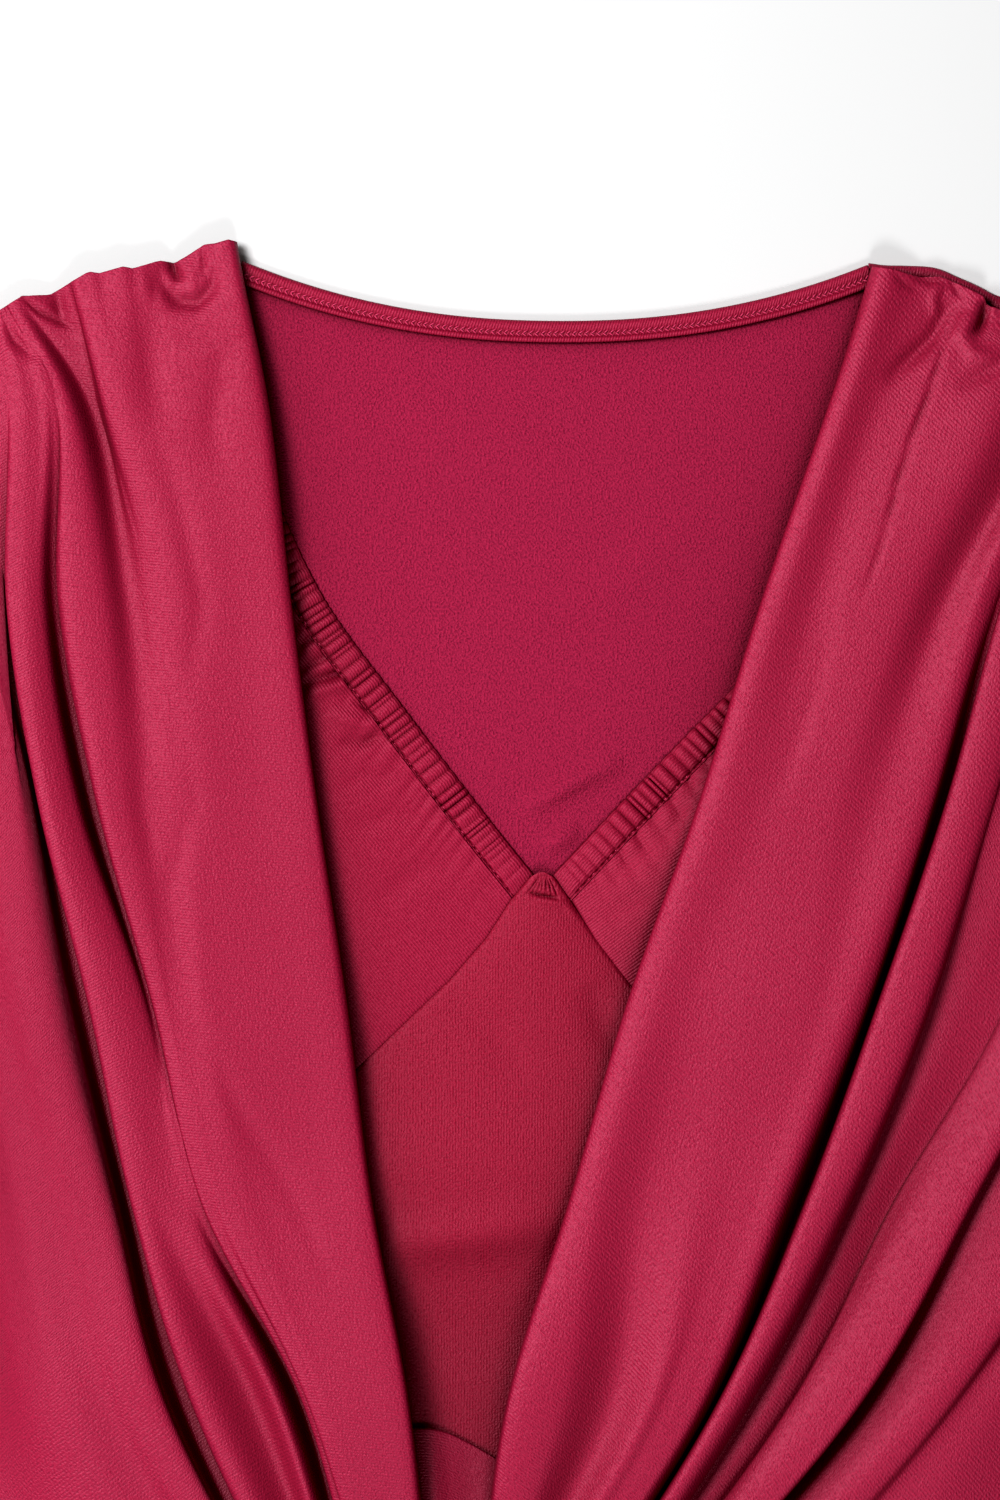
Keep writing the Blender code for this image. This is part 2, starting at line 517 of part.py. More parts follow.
def build():
    """Makes every piece of the dress."""
    clear_scene()
    dress = bpy.data.collections.new("cowl_neck_mini_dress")
    bpy.context.scene.collection.children.link(dress)
    face = satin_knit("satin_knit", (0.40, 0.030, 0.085), 0.42)
    inner = satin_knit("matt_knit", (0.36, 0.020, 0.058), 0.6)

    back_panel(inner, dress)
    cloth("neck_binding", binding_grid(), inner, dress, grow=1.0)
    cloth("centre_panel", centre_grid(), inner, dress, grow=1.0)
    for side in ("left", "right"):
        cloth(f"cup_{side}", cup_grid(side), inner, dress, grow=1.0)
        cloth(f"elastic_{side}", elastic_grid(side), inner, dress, grow=1.0)
        cloth(f"sleeve_{side}", sleeve_grid(side), face, dress, grow=-1.0, ring=True)
    cloth("drape_left", drape_grid(DRAPE_LEFT, "left", 14, 2), face, dress)
    cloth("drape_right", drape_grid(DRAPE_RIGHT, "right", 14, 2), face, dress)
    cloth("tuck", tuck_grid(), face, dress)
    cloth("twist_under", strap_grid(KNOT_ARC["left"], SKIRT_ARC["right"], 4, 9, 2.0, 0.2, 1.6, 8.0),
          face, dress)
    cloth("twist_over", strap_grid(KNOT_ARC["right"], SKIRT_ARC["left"], 5, 11, 13.0, 0.42, 4.0, 13.5),
          face, dress)
    cloth("skirt_front", skirt_grid(10, 2), face, dress)


build()
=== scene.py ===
# %% [markdown]
# # A cowl neck mini dress, laid flat
# A close look at the neckline of a raspberry satin-faced knit dress. Its front is two cowl drapes
# that hang from the shoulders in deep folds, and between them an inner front shows: a V of gathered
# elastic over a pointed centre panel. Behind that lies the inside of the back. The cloth is made here
# as thin shells over the solids of the CAD model. All sizes below are in
# millimetres, unless a comment says metres.

import math

import bpy
import numpy as np
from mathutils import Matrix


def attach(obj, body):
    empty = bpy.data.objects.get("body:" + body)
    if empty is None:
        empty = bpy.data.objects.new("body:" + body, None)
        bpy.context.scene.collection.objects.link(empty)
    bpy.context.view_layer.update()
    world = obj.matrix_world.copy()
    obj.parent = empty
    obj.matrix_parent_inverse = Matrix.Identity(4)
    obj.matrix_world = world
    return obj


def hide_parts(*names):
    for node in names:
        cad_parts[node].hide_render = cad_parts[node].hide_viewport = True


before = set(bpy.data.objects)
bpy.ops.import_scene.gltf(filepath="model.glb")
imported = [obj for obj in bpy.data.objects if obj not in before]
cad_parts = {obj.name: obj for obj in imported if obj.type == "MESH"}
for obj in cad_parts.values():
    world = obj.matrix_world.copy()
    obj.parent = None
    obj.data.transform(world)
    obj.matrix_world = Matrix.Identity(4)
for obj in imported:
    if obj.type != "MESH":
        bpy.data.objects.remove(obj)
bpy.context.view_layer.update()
MM = 0.001
CLOTH = 0.9                # thickness of the knit
print("CAD pieces:", len(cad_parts))

# %% [markdown]
# ## The outlines
# The dress is cut to the same lines as its CAD model: shoulders, armholes, side seams and hem. A few
# points give each of them, and smooth curves run through those.

# %% Sizes
LENGTH = 860.0
HEM_Y = -LENGTH / 2
NECK = {"left": (-114.0, 423.0), "right": (117.5, 421.5)}
SHOULDER_TIP = {"left": (-206.0, 402.0), "right": (206.0, 399.0)}
ARMHOLE_BEND = {"left": (-207.0, 300.0), "right": (207.0, 296.0)}
UNDERARM = {"left": (-229.0, 190.0), "right": (229.0, 190.0)}
WAIST = {"left": (-208.0, -30.0), "right": (208.0, -30.0)}
HIP_SEAM = {"left": (-212.0, -125.0), "right": (212.0, -125.0)}
HIP_HALF, HIP_Y = 222.0, -230.0
HEM_HALF = 224.0
SCOOP_DROP, SCOOP_POWER = 21.5, 2.2
KNOT, KNOT_RADIUS = (-35.0, -122.0), (42.0, 44.0)
KNOT_ARC = {"left": (100.0, 189.0), "right": (80.0, -9.0)}
SKIRT_ARC = {"left": (195.0, 262.0), "right": (345.0, 278.0)}
LEVELS = (372.0, 298.0, 224.0, 150.0, 76.0, 2.0)

# The gathered top edge of each drape, from the neck to the shoulder tip.
SHOULDER = {
    "left": [(-116, 430), (-118.8, 430.8), (-123.6, 429.4), (-127.7, 429), (-133.2, 425.3),
             (-138.4, 422.3), (-144.3, 423.1), (-153.9, 420.1), (-157.6, 420.8), (-166.5, 418.3),
             (-170.2, 419), (-176.5, 415.3), (-185, 410.5), (-195, 410.1), (-206, 403)],
    "right": [(119, 421), (124, 420.4), (127.7, 419.7), (131.7, 418.3), (136.9, 417.1),
              (144.3, 417.5), (151, 414.6), (159.8, 410.1), (161.3, 406.8), (166.5, 404.9),
              (180, 401), (206, 390)],
}


# %% Curves
def hermite(p, knots, piece, f):
    """Smooth cubic pieces through p (n, ..., 3) at knots (n, ...): each tangent is the slope of
    both neighbours, the nearer one counting more. piece and f say which piece and how far."""
    k = knots[..., None]
    step = np.diff(k, axis=0)
    slope = np.diff(p, axis=0) / step
    tangent = np.empty_like(p)
    tangent[1:-1] = (slope[:-1] * step[1:] + slope[1:] * step[:-1]) / (step[:-1] + step[1:])
    tangent[0], tangent[-1] = slope[0], slope[-1]
    f = np.asarray(f, float).reshape((-1,) + (1,) * (p.ndim - 1))
    h = step[piece]
    return ((2 * f**3 - 3 * f**2 + 1) * p[piece] + (f**3 - 2 * f**2 + f) * h * tangent[piece]
            + (3 * f**2 - 2 * f**3) * p[piece + 1] + (f**3 - f**2) * h * tangent[piece + 1])


def knots_of(p):
    """Running sum of the square roots of the distances between successive points."""
    step = np.sqrt(np.linalg.norm(np.diff(p, axis=0), axis=-1)) + 1e-6
    return np.concatenate([np.zeros_like(step[:1]), np.cumsum(step, axis=0)])


def along(points, count, crowd=1.0):
    """count points on a smooth curve through the given ones, evenly by knot, or crowded towards
    the start by a power above 1."""
    p = np.array(points, float)
    k = knots_of(p)
    at = np.linspace(0, 1, count) ** crowd * k[-1]
    piece = np.clip(np.searchsorted(k, at, side="right") - 1, 0, len(k) - 2)
    return hermite(p, k, piece, (at - k[piece]) / (k[piece + 1] - k[piece]))


def spread(count, per_span):
    """Where the columns lie, counted in lines: per_span of them between two lines, one number
    for all or one for each pair."""
    counts = np.broadcast_to(per_span, count - 1)
    return np.concatenate([[0.0], *(i + np.arange(1, n + 1) / n for i, n in enumerate(counts))])


def across(lines, per_span):
    """The grid (columns, rows, 3) of a smooth surface through lines of equal length."""
    p = np.array(lines, float)
    at = spread(len(p), per_span)
    piece = np.minimum(at.astype(int), len(p) - 2)
    return hermite(p, knots_of(p), piece, at - piece)


def on_path(path, at):
    """The points at fractions of the length of a path of straight runs."""
    p = np.array(path, float)
    run = np.concatenate([[0], np.cumsum(np.linalg.norm(np.diff(p, axis=0), axis=1))])
    return np.stack([np.interp(np.asarray(at) * run[-1], run, p[:, i]) for i in range(p.shape[1])], axis=-1)


def mix(a, b, t):
    """The point at t between a and b."""
    return np.array(a, float) * (1 - t) + np.array(b, float) * t


def normals_along(path, turn):
    """Unit vectors square to a plane path, to its left for turn 1 and to its right for -1."""
    run = np.gradient(path[:, :2], axis=0)
    run /= np.linalg.norm(run, axis=1)[:, None]
    return turn * np.column_stack([-run[:, 1], run[:, 0]])


# %% Outlines
def armhole(side, count=9, tip=SHOULDER_TIP):
    """The armhole curve, from the shoulder tip to the underarm."""
    return along([tip[side], ARMHOLE_BEND[side], UNDERARM[side]], count)


def side_seam(side, count=9):
    """The side seam, from the underarm to the hip seam."""
    return along([UNDERARM[side], WAIST[side], HIP_SEAM[side]], count)


def half_width(side, y):
    """How far the armhole and the side seams lie from the middle at a height."""
    end = 1 if side == "right" else -1
    skirt = [(end * HIP_HALF, HIP_Y), (end * HEM_HALF, HEM_Y)]
    path = np.vstack([armhole(side, 25), side_seam(side, 25)[1:], skirt])[::-1]
    return np.abs(np.interp(y, path[:, 1], path[:, 0]))


def knot_point(angle, grow=0.0):
    """A point of the oval in which the folds meet."""
    turn = math.radians(angle)
    return np.array([KNOT[0] + (KNOT_RADIUS[0] + grow) * math.cos(turn),
                     KNOT[1] + (KNOT_RADIUS[1] + grow) * math.sin(turn)])


def scoop(t):
    """The back neck's edge, t from -1 at the left shoulder to 1 at the right."""
    x = mix(NECK["left"][0], NECK["right"][0], (t + 1) / 2)
    y = mix(NECK["left"][1], NECK["right"][1], (t + 1) / 2)
    return np.column_stack([x, y - SCOOP_DROP * (1 - np.abs(t) ** SCOOP_POWER)])


print("half width at the underarm:", round(float(half_width("left", 190.0)), 1))


# %% [markdown]
# ## From a grid of points to cloth
# Every piece below is first a grid of points: columns across the piece and rows along it. A grid
# turns into a mesh with one square for each four points. Sculpting or a cloth simulation could make
# such a sheet too, but a grid keeps every fold where it is put and gives the same result each time.
# Its texture map is the cloth itself, measured in millimetres across and along, so the knit's fine
# ribs follow each fold as they do on real cloth. The Solidify modifier gives the sheet its
# thickness: it is live, so a learner can change it and see the edges follow.

# %% Grids
def arc(grid, axis):
    """The distance run along an axis of the grid, from its first row or column."""
    step = np.linalg.norm(np.diff(grid, axis=axis), axis=-1)
    start = np.zeros_like(np.take(step, [0], axis=axis))
    return np.concatenate([start, np.cumsum(step, axis=axis)], axis=axis)


def plan_map(grid, turn):
    """A map as seen from above, turned so that its ribs run at `turn` degrees."""
    a = math.radians(turn)
    x, y = grid[..., 0], grid[..., 1]
    return np.stack([x * math.cos(a) + y * math.sin(a), y * math.cos(a) - x * math.sin(a)], axis=-1)


def fold_map(grid, slopes):
    """u runs over the folds, and v down the cloth. A rib climbs `slope` mm for each mm outwards;
    slopes are (share of the columns, slope)."""
    u = arc(grid, 0)
    share, slope = np.array(slopes).T
    here = np.interp(np.linspace(0, 1, len(grid)), share, slope)[:, None]
    climb = np.concatenate([np.zeros((1, grid.shape[1])), np.cumsum(np.diff(u, axis=0) * here[1:], axis=0)])
    return np.stack([u, (climb - grid[..., 1]) / math.hypot(1.0, slope.mean())], axis=-1)


def area_of(grid):
    """The area of a grid's cloth, in square metres."""
    a, b = grid[1:, :-1] - grid[:-1, :-1], grid[:-1, 1:] - grid[:-1, :-1]
    return float(np.linalg.norm(np.cross(a, b), axis=-1).sum()) * MM * MM


def cloth(name, node, grid, material, ring=False, uv=None):
    """A shell of cloth on a grid's points, closed round for a ring. It takes the CAD node's place."""
    columns, rows = grid.shape[:2]
    last = columns if ring else columns - 1
    i, j = np.meshgrid(np.arange(last), np.arange(rows - 1), indexing="ij")
    a, b = i * rows + j, (i + 1) % columns * rows + j
    quads = np.stack([a, b, b + 1, a + 1], axis=-1).reshape(-1, 4)
    middle = grid[columns // 4: columns // 4 + 2, rows // 2: rows // 2 + 2]
    if np.cross(middle[1, 0] - middle[0, 0], middle[0, 1] - middle[0, 0])[2] < 0:
        quads = quads[:, ::-1]
    mesh = bpy.data.meshes.new(name)
    mesh.from_pydata((grid.reshape(-1, 3) * MM).tolist(), [], quads.tolist())
    if uv is None:
        uv = np.stack([arc(grid, 0), arc(grid, 1)], axis=-1)
    layer = mesh.uv_layers.new(name="cloth mm")
    layer.data.foreach_set("uv", uv.reshape(-1, 2)[quads.ravel()].astype(np.float32).ravel())
    mesh.shade_smooth()
    mesh.materials.append(material)
    piece = bpy.data.objects.new(name, mesh)
    bpy.context.scene.collection.objects.link(piece)
    wall = piece.modifiers.new("thickness", "SOLIDIFY")
    wall.thickness = CLOTH * MM
    wall.offset = 0.0
    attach(piece, "root")
    if node:
        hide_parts(node)
    print(f"{name}: {len(quads)} squares, {area_of(grid):.4f} m2")
    return piece


# %% [markdown]
# ## Creases
# Worn cloth has small dents and ridges that no cut explains. A noise texture would scatter them
# evenly, so they are pressed in one by one instead. Each is a short path with a width and a depth:
# points near it go down, or up where the depth is negative, and it dies out at both ends.

# %% Creases
def creased(grid, creases):
    """z falls by depth * exp(-(d / width)^2) * sin(pi * s)^0.7, where d is the distance in plan
    from the crease's path and s the share of its length. Each crease is (width, depth, path)."""
    out = grid.copy()
    flat = grid[..., :2]
    for width, depth, path in creases:
        p = np.array(path, float)
        length = np.linalg.norm(np.diff(p, axis=0), axis=1)
        run = np.concatenate([[0], np.cumsum(length)])
        near = np.full(flat.shape[:2], 1e9)
        share = np.zeros(flat.shape[:2])
        for i in range(len(p) - 1):
            d = p[i + 1] - p[i]
            t = np.clip(((flat - p[i]) @ d) / (d @ d), 0, 1)
            gap = np.linalg.norm(flat - (p[i] + t[..., None] * d), axis=-1)
            closer = gap < near
            near = np.where(closer, gap, near)
            share = np.where(closer, (run[i] + t * length[i]) / run[-1], share)
        taper = np.sin(math.pi * np.clip(share, 0, 1)) ** 0.7
        out[..., 2] -= depth * np.exp(-(near / width) ** 2) * taper
    return out


def uneven(grid, amount, size, seed):
    """Slow swells of a few random directions, so that a surface isn't ruled."""
    rng = np.random.default_rng(seed)
    out = grid.copy()
    for _ in range(6):
        turn, phase = rng.uniform(0, 2 * math.pi, 2)
        pace = 2 * math.pi / (size * rng.uniform(0.6, 1.6))
        wave = grid[..., 0] * math.cos(turn) + grid[..., 1] * math.sin(turn)
        out[..., 2] += amount / 2.4 * np.sin(wave * pace + phase)
    return out


# %% [markdown]
# ## Materials
# The face of the cloth is a satin knit: smooth threads lie side by side in fine diagonal ribs, which
# gives a soft, broad sheen on each fold. The inside of the back is the knit's dull side. Both are
# a Principled shader, whose ribs are a sine across the cloth's own measured map: modelled ribs would
# take millions of faces. Real ribs are about 0.9 mm apart, too fine for a picture of this size, so
# they are drawn 1.05 mm apart.
#
# The ribs are a bump. The colour is lighter on their crests and darker between them, which is painted light
# and shade on the ribs. Deep in a fold, light meets red cloth again and again, and comes out a very
# dark red. Few bounces are traced here, so an Ambient Occlusion node finds the hollows of the mesh
# and paints shade there: the colour goes to a deep red.

# %% Colour and nodes
def to_linear(code):
    """An sRGB hex colour as the linear colour a shader reads."""
    c = np.array([int(code[i:i + 2], 16) for i in (1, 3, 5)]) / 255
    return (*np.where(c <= 0.04045, c / 12.92, ((c + 0.055) / 1.055) ** 2.4), 1.0)


def add(tree, kind, settings=None, links=None):
    """Adds a node, sets its properties and inputs by name or number, and links sockets to it."""
    node = tree.nodes.new(kind)
    for key, value in (settings or {}).items():
        if isinstance(key, str) and key not in node.inputs:
            setattr(node, key, value)
        else:
            node.inputs[key].default_value = value
    for key, socket in (links or {}).items():
        tree.links.new(socket, node.inputs[key])
    return node


def principled(name, settings):
    """A new material with its Principled shader set, and its node tree."""
    material = bpy.data.materials.new(name)
    material.use_nodes = True
    tree = material.node_tree
    shader = tree.nodes["Principled BSDF"]
    for key, value in settings.items():
        shader.inputs[key].default_value = value
    return material, tree, shader


# %% Cloth materials
RIB = 1.05                 # mm, a real rib is about 0.9
BEND = 9.0                 # radians by which slow noise bends the ribs
# Painted shade: in the mesh's hollows, which an Ambient Occlusion node finds, the colour goes towards
# PAINTED_SHADE_RED.
HOLLOW, PAINTED_SHADE_POWER = 0.05, 1.2     # metres looked round for walls, and how strongly they darken
PAINTED_SHADE_RED = "#48000C"


def knit(name, light, dark, ribs, grain, settings):
    """A ribbed knit. Its height in mm is ribs * sin(2 pi v / RIB) + 2 * grain * noise, with v
    along the cloth's own map. Its colour is painted light and shade on that relief: the light colour
    on the crests of ribs and grain, the darker colour between them. Deep in folds painted shade takes it
    to PAINTED_SHADE_RED, by the share of the sky that the cloth sees to the power PAINTED_SHADE_POWER."""
    material, tree, shader = principled(name, settings)
    cloth_map = add(tree, "ShaderNodeUVMap", {"uv_map": "cloth mm"}).outputs[0]
    wobble = add(tree, "ShaderNodeTexNoise", {"Scale": 0.03, "Detail": 1.0}, {"Vector": cloth_map})
    turns = (0.0, 2 * math.pi / RIB, 0.0)
    count = add(tree, "ShaderNodeVectorMath", {"operation": "DOT_PRODUCT", 1: turns}, {0: cloth_map})
    bend = add(tree, "ShaderNodeMath", {"operation": "MULTIPLY_ADD", 1: BEND},
               {0: wobble.outputs[0], 2: count.outputs["Value"]})
    wave = add(tree, "ShaderNodeMath", {"operation": "SINE"}, {0: bend.outputs[0]})
    rib = add(tree, "ShaderNodeMath", {"operation": "MULTIPLY", 1: ribs}, {0: wave.outputs[0]})
    fine = add(tree, "ShaderNodeTexNoise", {"Scale": 1.2, "Detail": 2.0}, {"Vector": cloth_map})
    height = add(tree, "ShaderNodeMath", {"operation": "MULTIPLY_ADD", 1: 2 * grain},
                 {0: fine.outputs[0], 2: rib.outputs[0]})
    limits = {"From Min": 0.5 * grain - ribs, "From Max": 1.5 * grain + ribs}
    share = add(tree, "ShaderNodeMapRange", limits, {"Value": height.outputs[0]})
    # Painted light and shade: the lighter colour on the relief's crests, the darker one between the ribs.
    colour = add(tree, "ShaderNodeMix", {"data_type": "RGBA", 6: to_linear(dark), 7: to_linear(light)},
                 {0: share.outputs[0]})
    # Painted shade: the hollows of the mesh darken the colour towards the deep red.
    hollow = add(tree, "ShaderNodeAmbientOcclusion", {"samples": 8, "Distance": HOLLOW})
    shade = add(tree, "ShaderNodeMath", {"operation": "POWER", 1: PAINTED_SHADE_POWER}, {0: hollow.outputs["AO"]})
    deep = add(tree, "ShaderNodeMix", {"data_type": "RGBA", 6: to_linear(PAINTED_SHADE_RED)},
               {0: shade.outputs[0], 7: colour.outputs[2]})
    tree.links.new(deep.outputs[2], shader.inputs["Base Color"])
    bump = add(tree, "ShaderNodeBump", {"Strength": 1.0, "Distance": MM}, {"Height": height.outputs[0]})
    tree.links.new(bump.outputs[0], shader.inputs["Normal"])
    return material


# The satin face of the drapes: deeply dyed, with a broad, faintly pink sheen.
SHEEN = to_linear("#FFBED0")
SATIN = knit("raspberry satin knit", "#BC2E59", "#921E46", 0.032, 0.18, {
    "Roughness": 0.5, "Specular IOR Level": 0.8, "Specular Tint": SHEEN})
# The same cloth on the inner front.
INNER_FACE = knit("raspberry inner knit", "#BE2C59", "#921A40", 0.065, 0.16, {
    "Roughness": 0.55, "Specular IOR Level": 0.75, "Specular Tint": SHEEN})
# The centre panel's ribs run straight down, and hardly show.
CENTRE_FACE = knit("raspberry inner knit, upright ribs", "#B6254F", "#8C1639", 0.03, 0.24, {
    "Roughness": 0.55, "Specular IOR Level": 0.75, "Specular Tint": SHEEN})
# The dull inside of the back: short loops, no ribs to speak of.
INSIDE = knit("raspberry knit, inside", "#C63965", "#952650", 0.01, 0.5, {
    "Roughness": 0.7, "Specular IOR Level": 0.5, "Specular Tint": SHEEN})
# Sewing thread, a little lighter than the cloth.
THREAD, _, _ = principled("sewing thread", {
    "Base Color": to_linear("#D24A76"), "Roughness": 0.5, "Specular IOR Level": 0.5})
print("materials:", [m.name for m in (SATIN, INNER_FACE, CENTRE_FACE, INSIDE, THREAD)])

# %% [markdown]
# ## The cowl drapes
# A cowl drape is a wide piece of cloth pleated into a short shoulder seam, so it falls in folds
# that fan out and then run together into the twist at the waist. A simulation would give folds of
# its own; here each fold has its place, so the ridges, valleys and lips are lines in a table, and a
# smooth surface runs through them. Where the next fold's lip stands over a valley, the valley goes
# dark, as it does on real cloth, and the satin's painted shade makes it darker still.

# %% Fold tables
# One row for each line, from the neck opening outwards. start: 0 to 1 along the shoulder, 1 to 2
# down the armhole. Six places x at the LEVELS. end: 0 to 1 round the twist, 1 to 2 along the hip
# seam. Then heights: at the start, at the six levels and at the end.
DRAPE_LEFT = [
    ("inside",   0.03,-117.5,-108.0, -99.0, -87.0, -78.5, -66.0, 0.05, 5.0, 4.8, 6.4, 6.6, 6.2, 6.4, 9.6, 9.0),
    ("edge",     0.00,-106.0, -97.0, -87.5, -76.5, -67.0, -53.5, 0.01, 6.0, 6.4, 7.6, 7.6, 7.8, 9.0,13.0, 9.8),
    ("rim",      0.01,-104.5, -96.0, -86.5, -75.5, -66.0, -52.5, 0.03, 7.4, 9.4,11.2,11.6,12.0,14.6,19.4,12.4),
    ("face 1",   0.03,-106.0, -97.5, -87.5, -77.0, -67.0, -53.5, 0.05, 8.2,11.5,12.7,13.0,13.6,16.3,20.6,13.8),
    ("face 1b",  0.06,-108.0, -99.5, -90.0, -79.0, -69.5, -56.0, 0.08, 8.2,12.2,13.2,13.4,14.0,16.8,21.0,14.2),
    ("face 2",   0.15,-124.0,-114.5,-106.5, -94.5, -83.0, -68.0, 0.12, 7.2,12.2,13.2,13.8,14.4,17.0,21.0,14.4),
    ("face 3",   0.42,-147.5,-133.0,-125.0,-119.0,-104.5, -78.5, 0.18, 8.4,12.5,13.4,14.6,15.4,17.4,21.0,14.6),
    ("face 4",   0.60,-159.0,-140.0,-133.0,-127.5,-111.5, -83.0, 0.24, 8.4,12.3,13.0,14.6,15.8,17.8,21.0,14.4),
    ("edge A",   0.66,-165.0,-144.0,-137.0,-130.5,-114.0, -84.5, 0.26, 7.8,10.8,12.4,14.2,15.6,17.8,20.8,14.4),
    ("under A",  0.67,-166.0,-148.0,-140.0,-132.5,-115.5, -85.0, 0.27, 6.4, 9.0,11.5,13.9,15.4,17.8,20.8,14.4),
    ("valley 3", 0.86,-168.5,-153.0,-144.5,-136.0,-119.0, -87.0, 0.29, 6.8, 6.9, 9.8,13.4,15.2,17.6,20.6,14.2),
    ("wall 3",   0.88,-171.5,-157.0,-148.5,-139.0,-122.0, -88.5, 0.32, 6.8, 6.6, 9.8,13.4,15.2,17.4,20.2,14.0),
    ("fold 4",   0.90,-177.5,-164.5,-158.5,-142.5,-124.5, -88.0, 0.36, 6.8,12.2,13.6,15.2,15.4,16.8,19.2,13.6),
    ("lip 4",    0.92,-182.0,-181.0,-167.0,-146.5,-128.0, -90.5, 0.42, 6.8,12.4,12.9,14.6,14.4,16.4,18.0,12.6),
    ("under 4",  0.93,-182.5,-179.5,-164.5,-144.5,-128.0, -88.0, 0.44, 6.6,12.4, 8.4, 4.8,12.0,15.8, 5.6, 7.0),
    ("valley 4", 0.93,-183.5,-182.0,-168.0,-147.0,-130.0, -91.0, 0.48, 6.4,12.5, 8.2, 4.8,11.8,15.6, 5.4, 6.4),
    ("wall 4",   0.94,-185.0,-184.0,-171.0,-148.5,-131.5, -93.0, 0.49, 6.4,12.6, 8.8, 5.0,12.0,15.6, 5.6, 7.2),
    ("slope 4",  0.94,-186.5,-187.0,-174.5,-150.0,-133.5, -97.0, 0.51, 6.4,12.6,12.4,12.4,13.4,15.6,13.2, 9.0),
    ("back 5",   0.95,-189.0,-190.0,-178.5,-155.5,-137.5,-100.5, 0.55, 6.6,12.3,13.5,14.3,15.2,15.8,15.8,11.0),
    ("dip 5",    0.96,-191.5,-193.0,-182.0,-161.5,-145.0,-109.0, 0.62, 6.6,12.4,14.0,15.2,16.2,16.6,11.6, 9.6),
    ("fold 5",   0.97,-194.5,-195.5,-185.5,-166.5,-151.0,-124.5, 0.70, 6.6,12.6,14.0,15.6,16.4,17.2,17.4,12.8),
    ("lip 5",    0.98,-199.0,-200.0,-188.5,-170.0,-154.0,-131.5, 0.77, 6.0,12.0,13.2,14.6,15.5,16.4,16.8,11.2),
    ("under 5",  0.98,-200.0,-199.0,-186.0,-166.5,-151.0,-128.5, 0.79, 5.6,11.8, 8.6, 5.8, 4.8, 4.8, 4.8, 5.6),
    ("valley 5", 0.98,-202.0,-202.5,-189.0,-170.5,-154.5,-133.0, 0.82, 5.4,11.6, 8.6, 5.8, 4.8, 4.8, 4.8, 5.6),
    ("wall 6",   0.99,-204.0,-204.5,-189.5,-173.5,-156.5,-137.0, 0.84, 5.2,11.4, 8.8, 6.2, 4.9, 4.9, 4.9, 6.4),
    ("slope 6",  1.02,  None,-207.5,-191.5,-178.0,-160.0,-141.0, 0.86, 4.4,None,10.8,11.4,11.0,11.6,12.4, 8.6),
    ("back 6",   1.12,  None,  None,-196.0,-184.5,-164.5,-144.5, 0.90, 4.6,None,None,13.6,14.6,15.4,16.0,10.4),
    ("fold 6",   1.35,  None,  None,-206.5,-194.5,-174.0,-155.5, 0.98, 4.6,None,None,13.6,15.2,15.8,15.8,11.0),
    ("dip 6",    1.55,  None,  None,-214.5,-201.5,-183.0,-163.5, 1.06, 4.0,None,None,11.8,13.8,15.0,14.6, 8.6),
    ("fold 7",   1.74,  None,  None,-220.0,-210.0,-195.5,-179.0, 1.26, 3.8,None,None, 9.0,12.4,14.6,14.8, 9.0),
    ("flat 7",   1.90,  None,  None,  None,-219.0,-206.5,-194.5, 1.56, 3.2,None,None,None, 8.4,11.0,11.6, 7.0),
    ("side",     2.00,  None,  None,  None,-225.5,-216.0,-209.5, 2.00, 2.4,None,None,None, 2.4, 2.4, 2.4, 2.4),
]
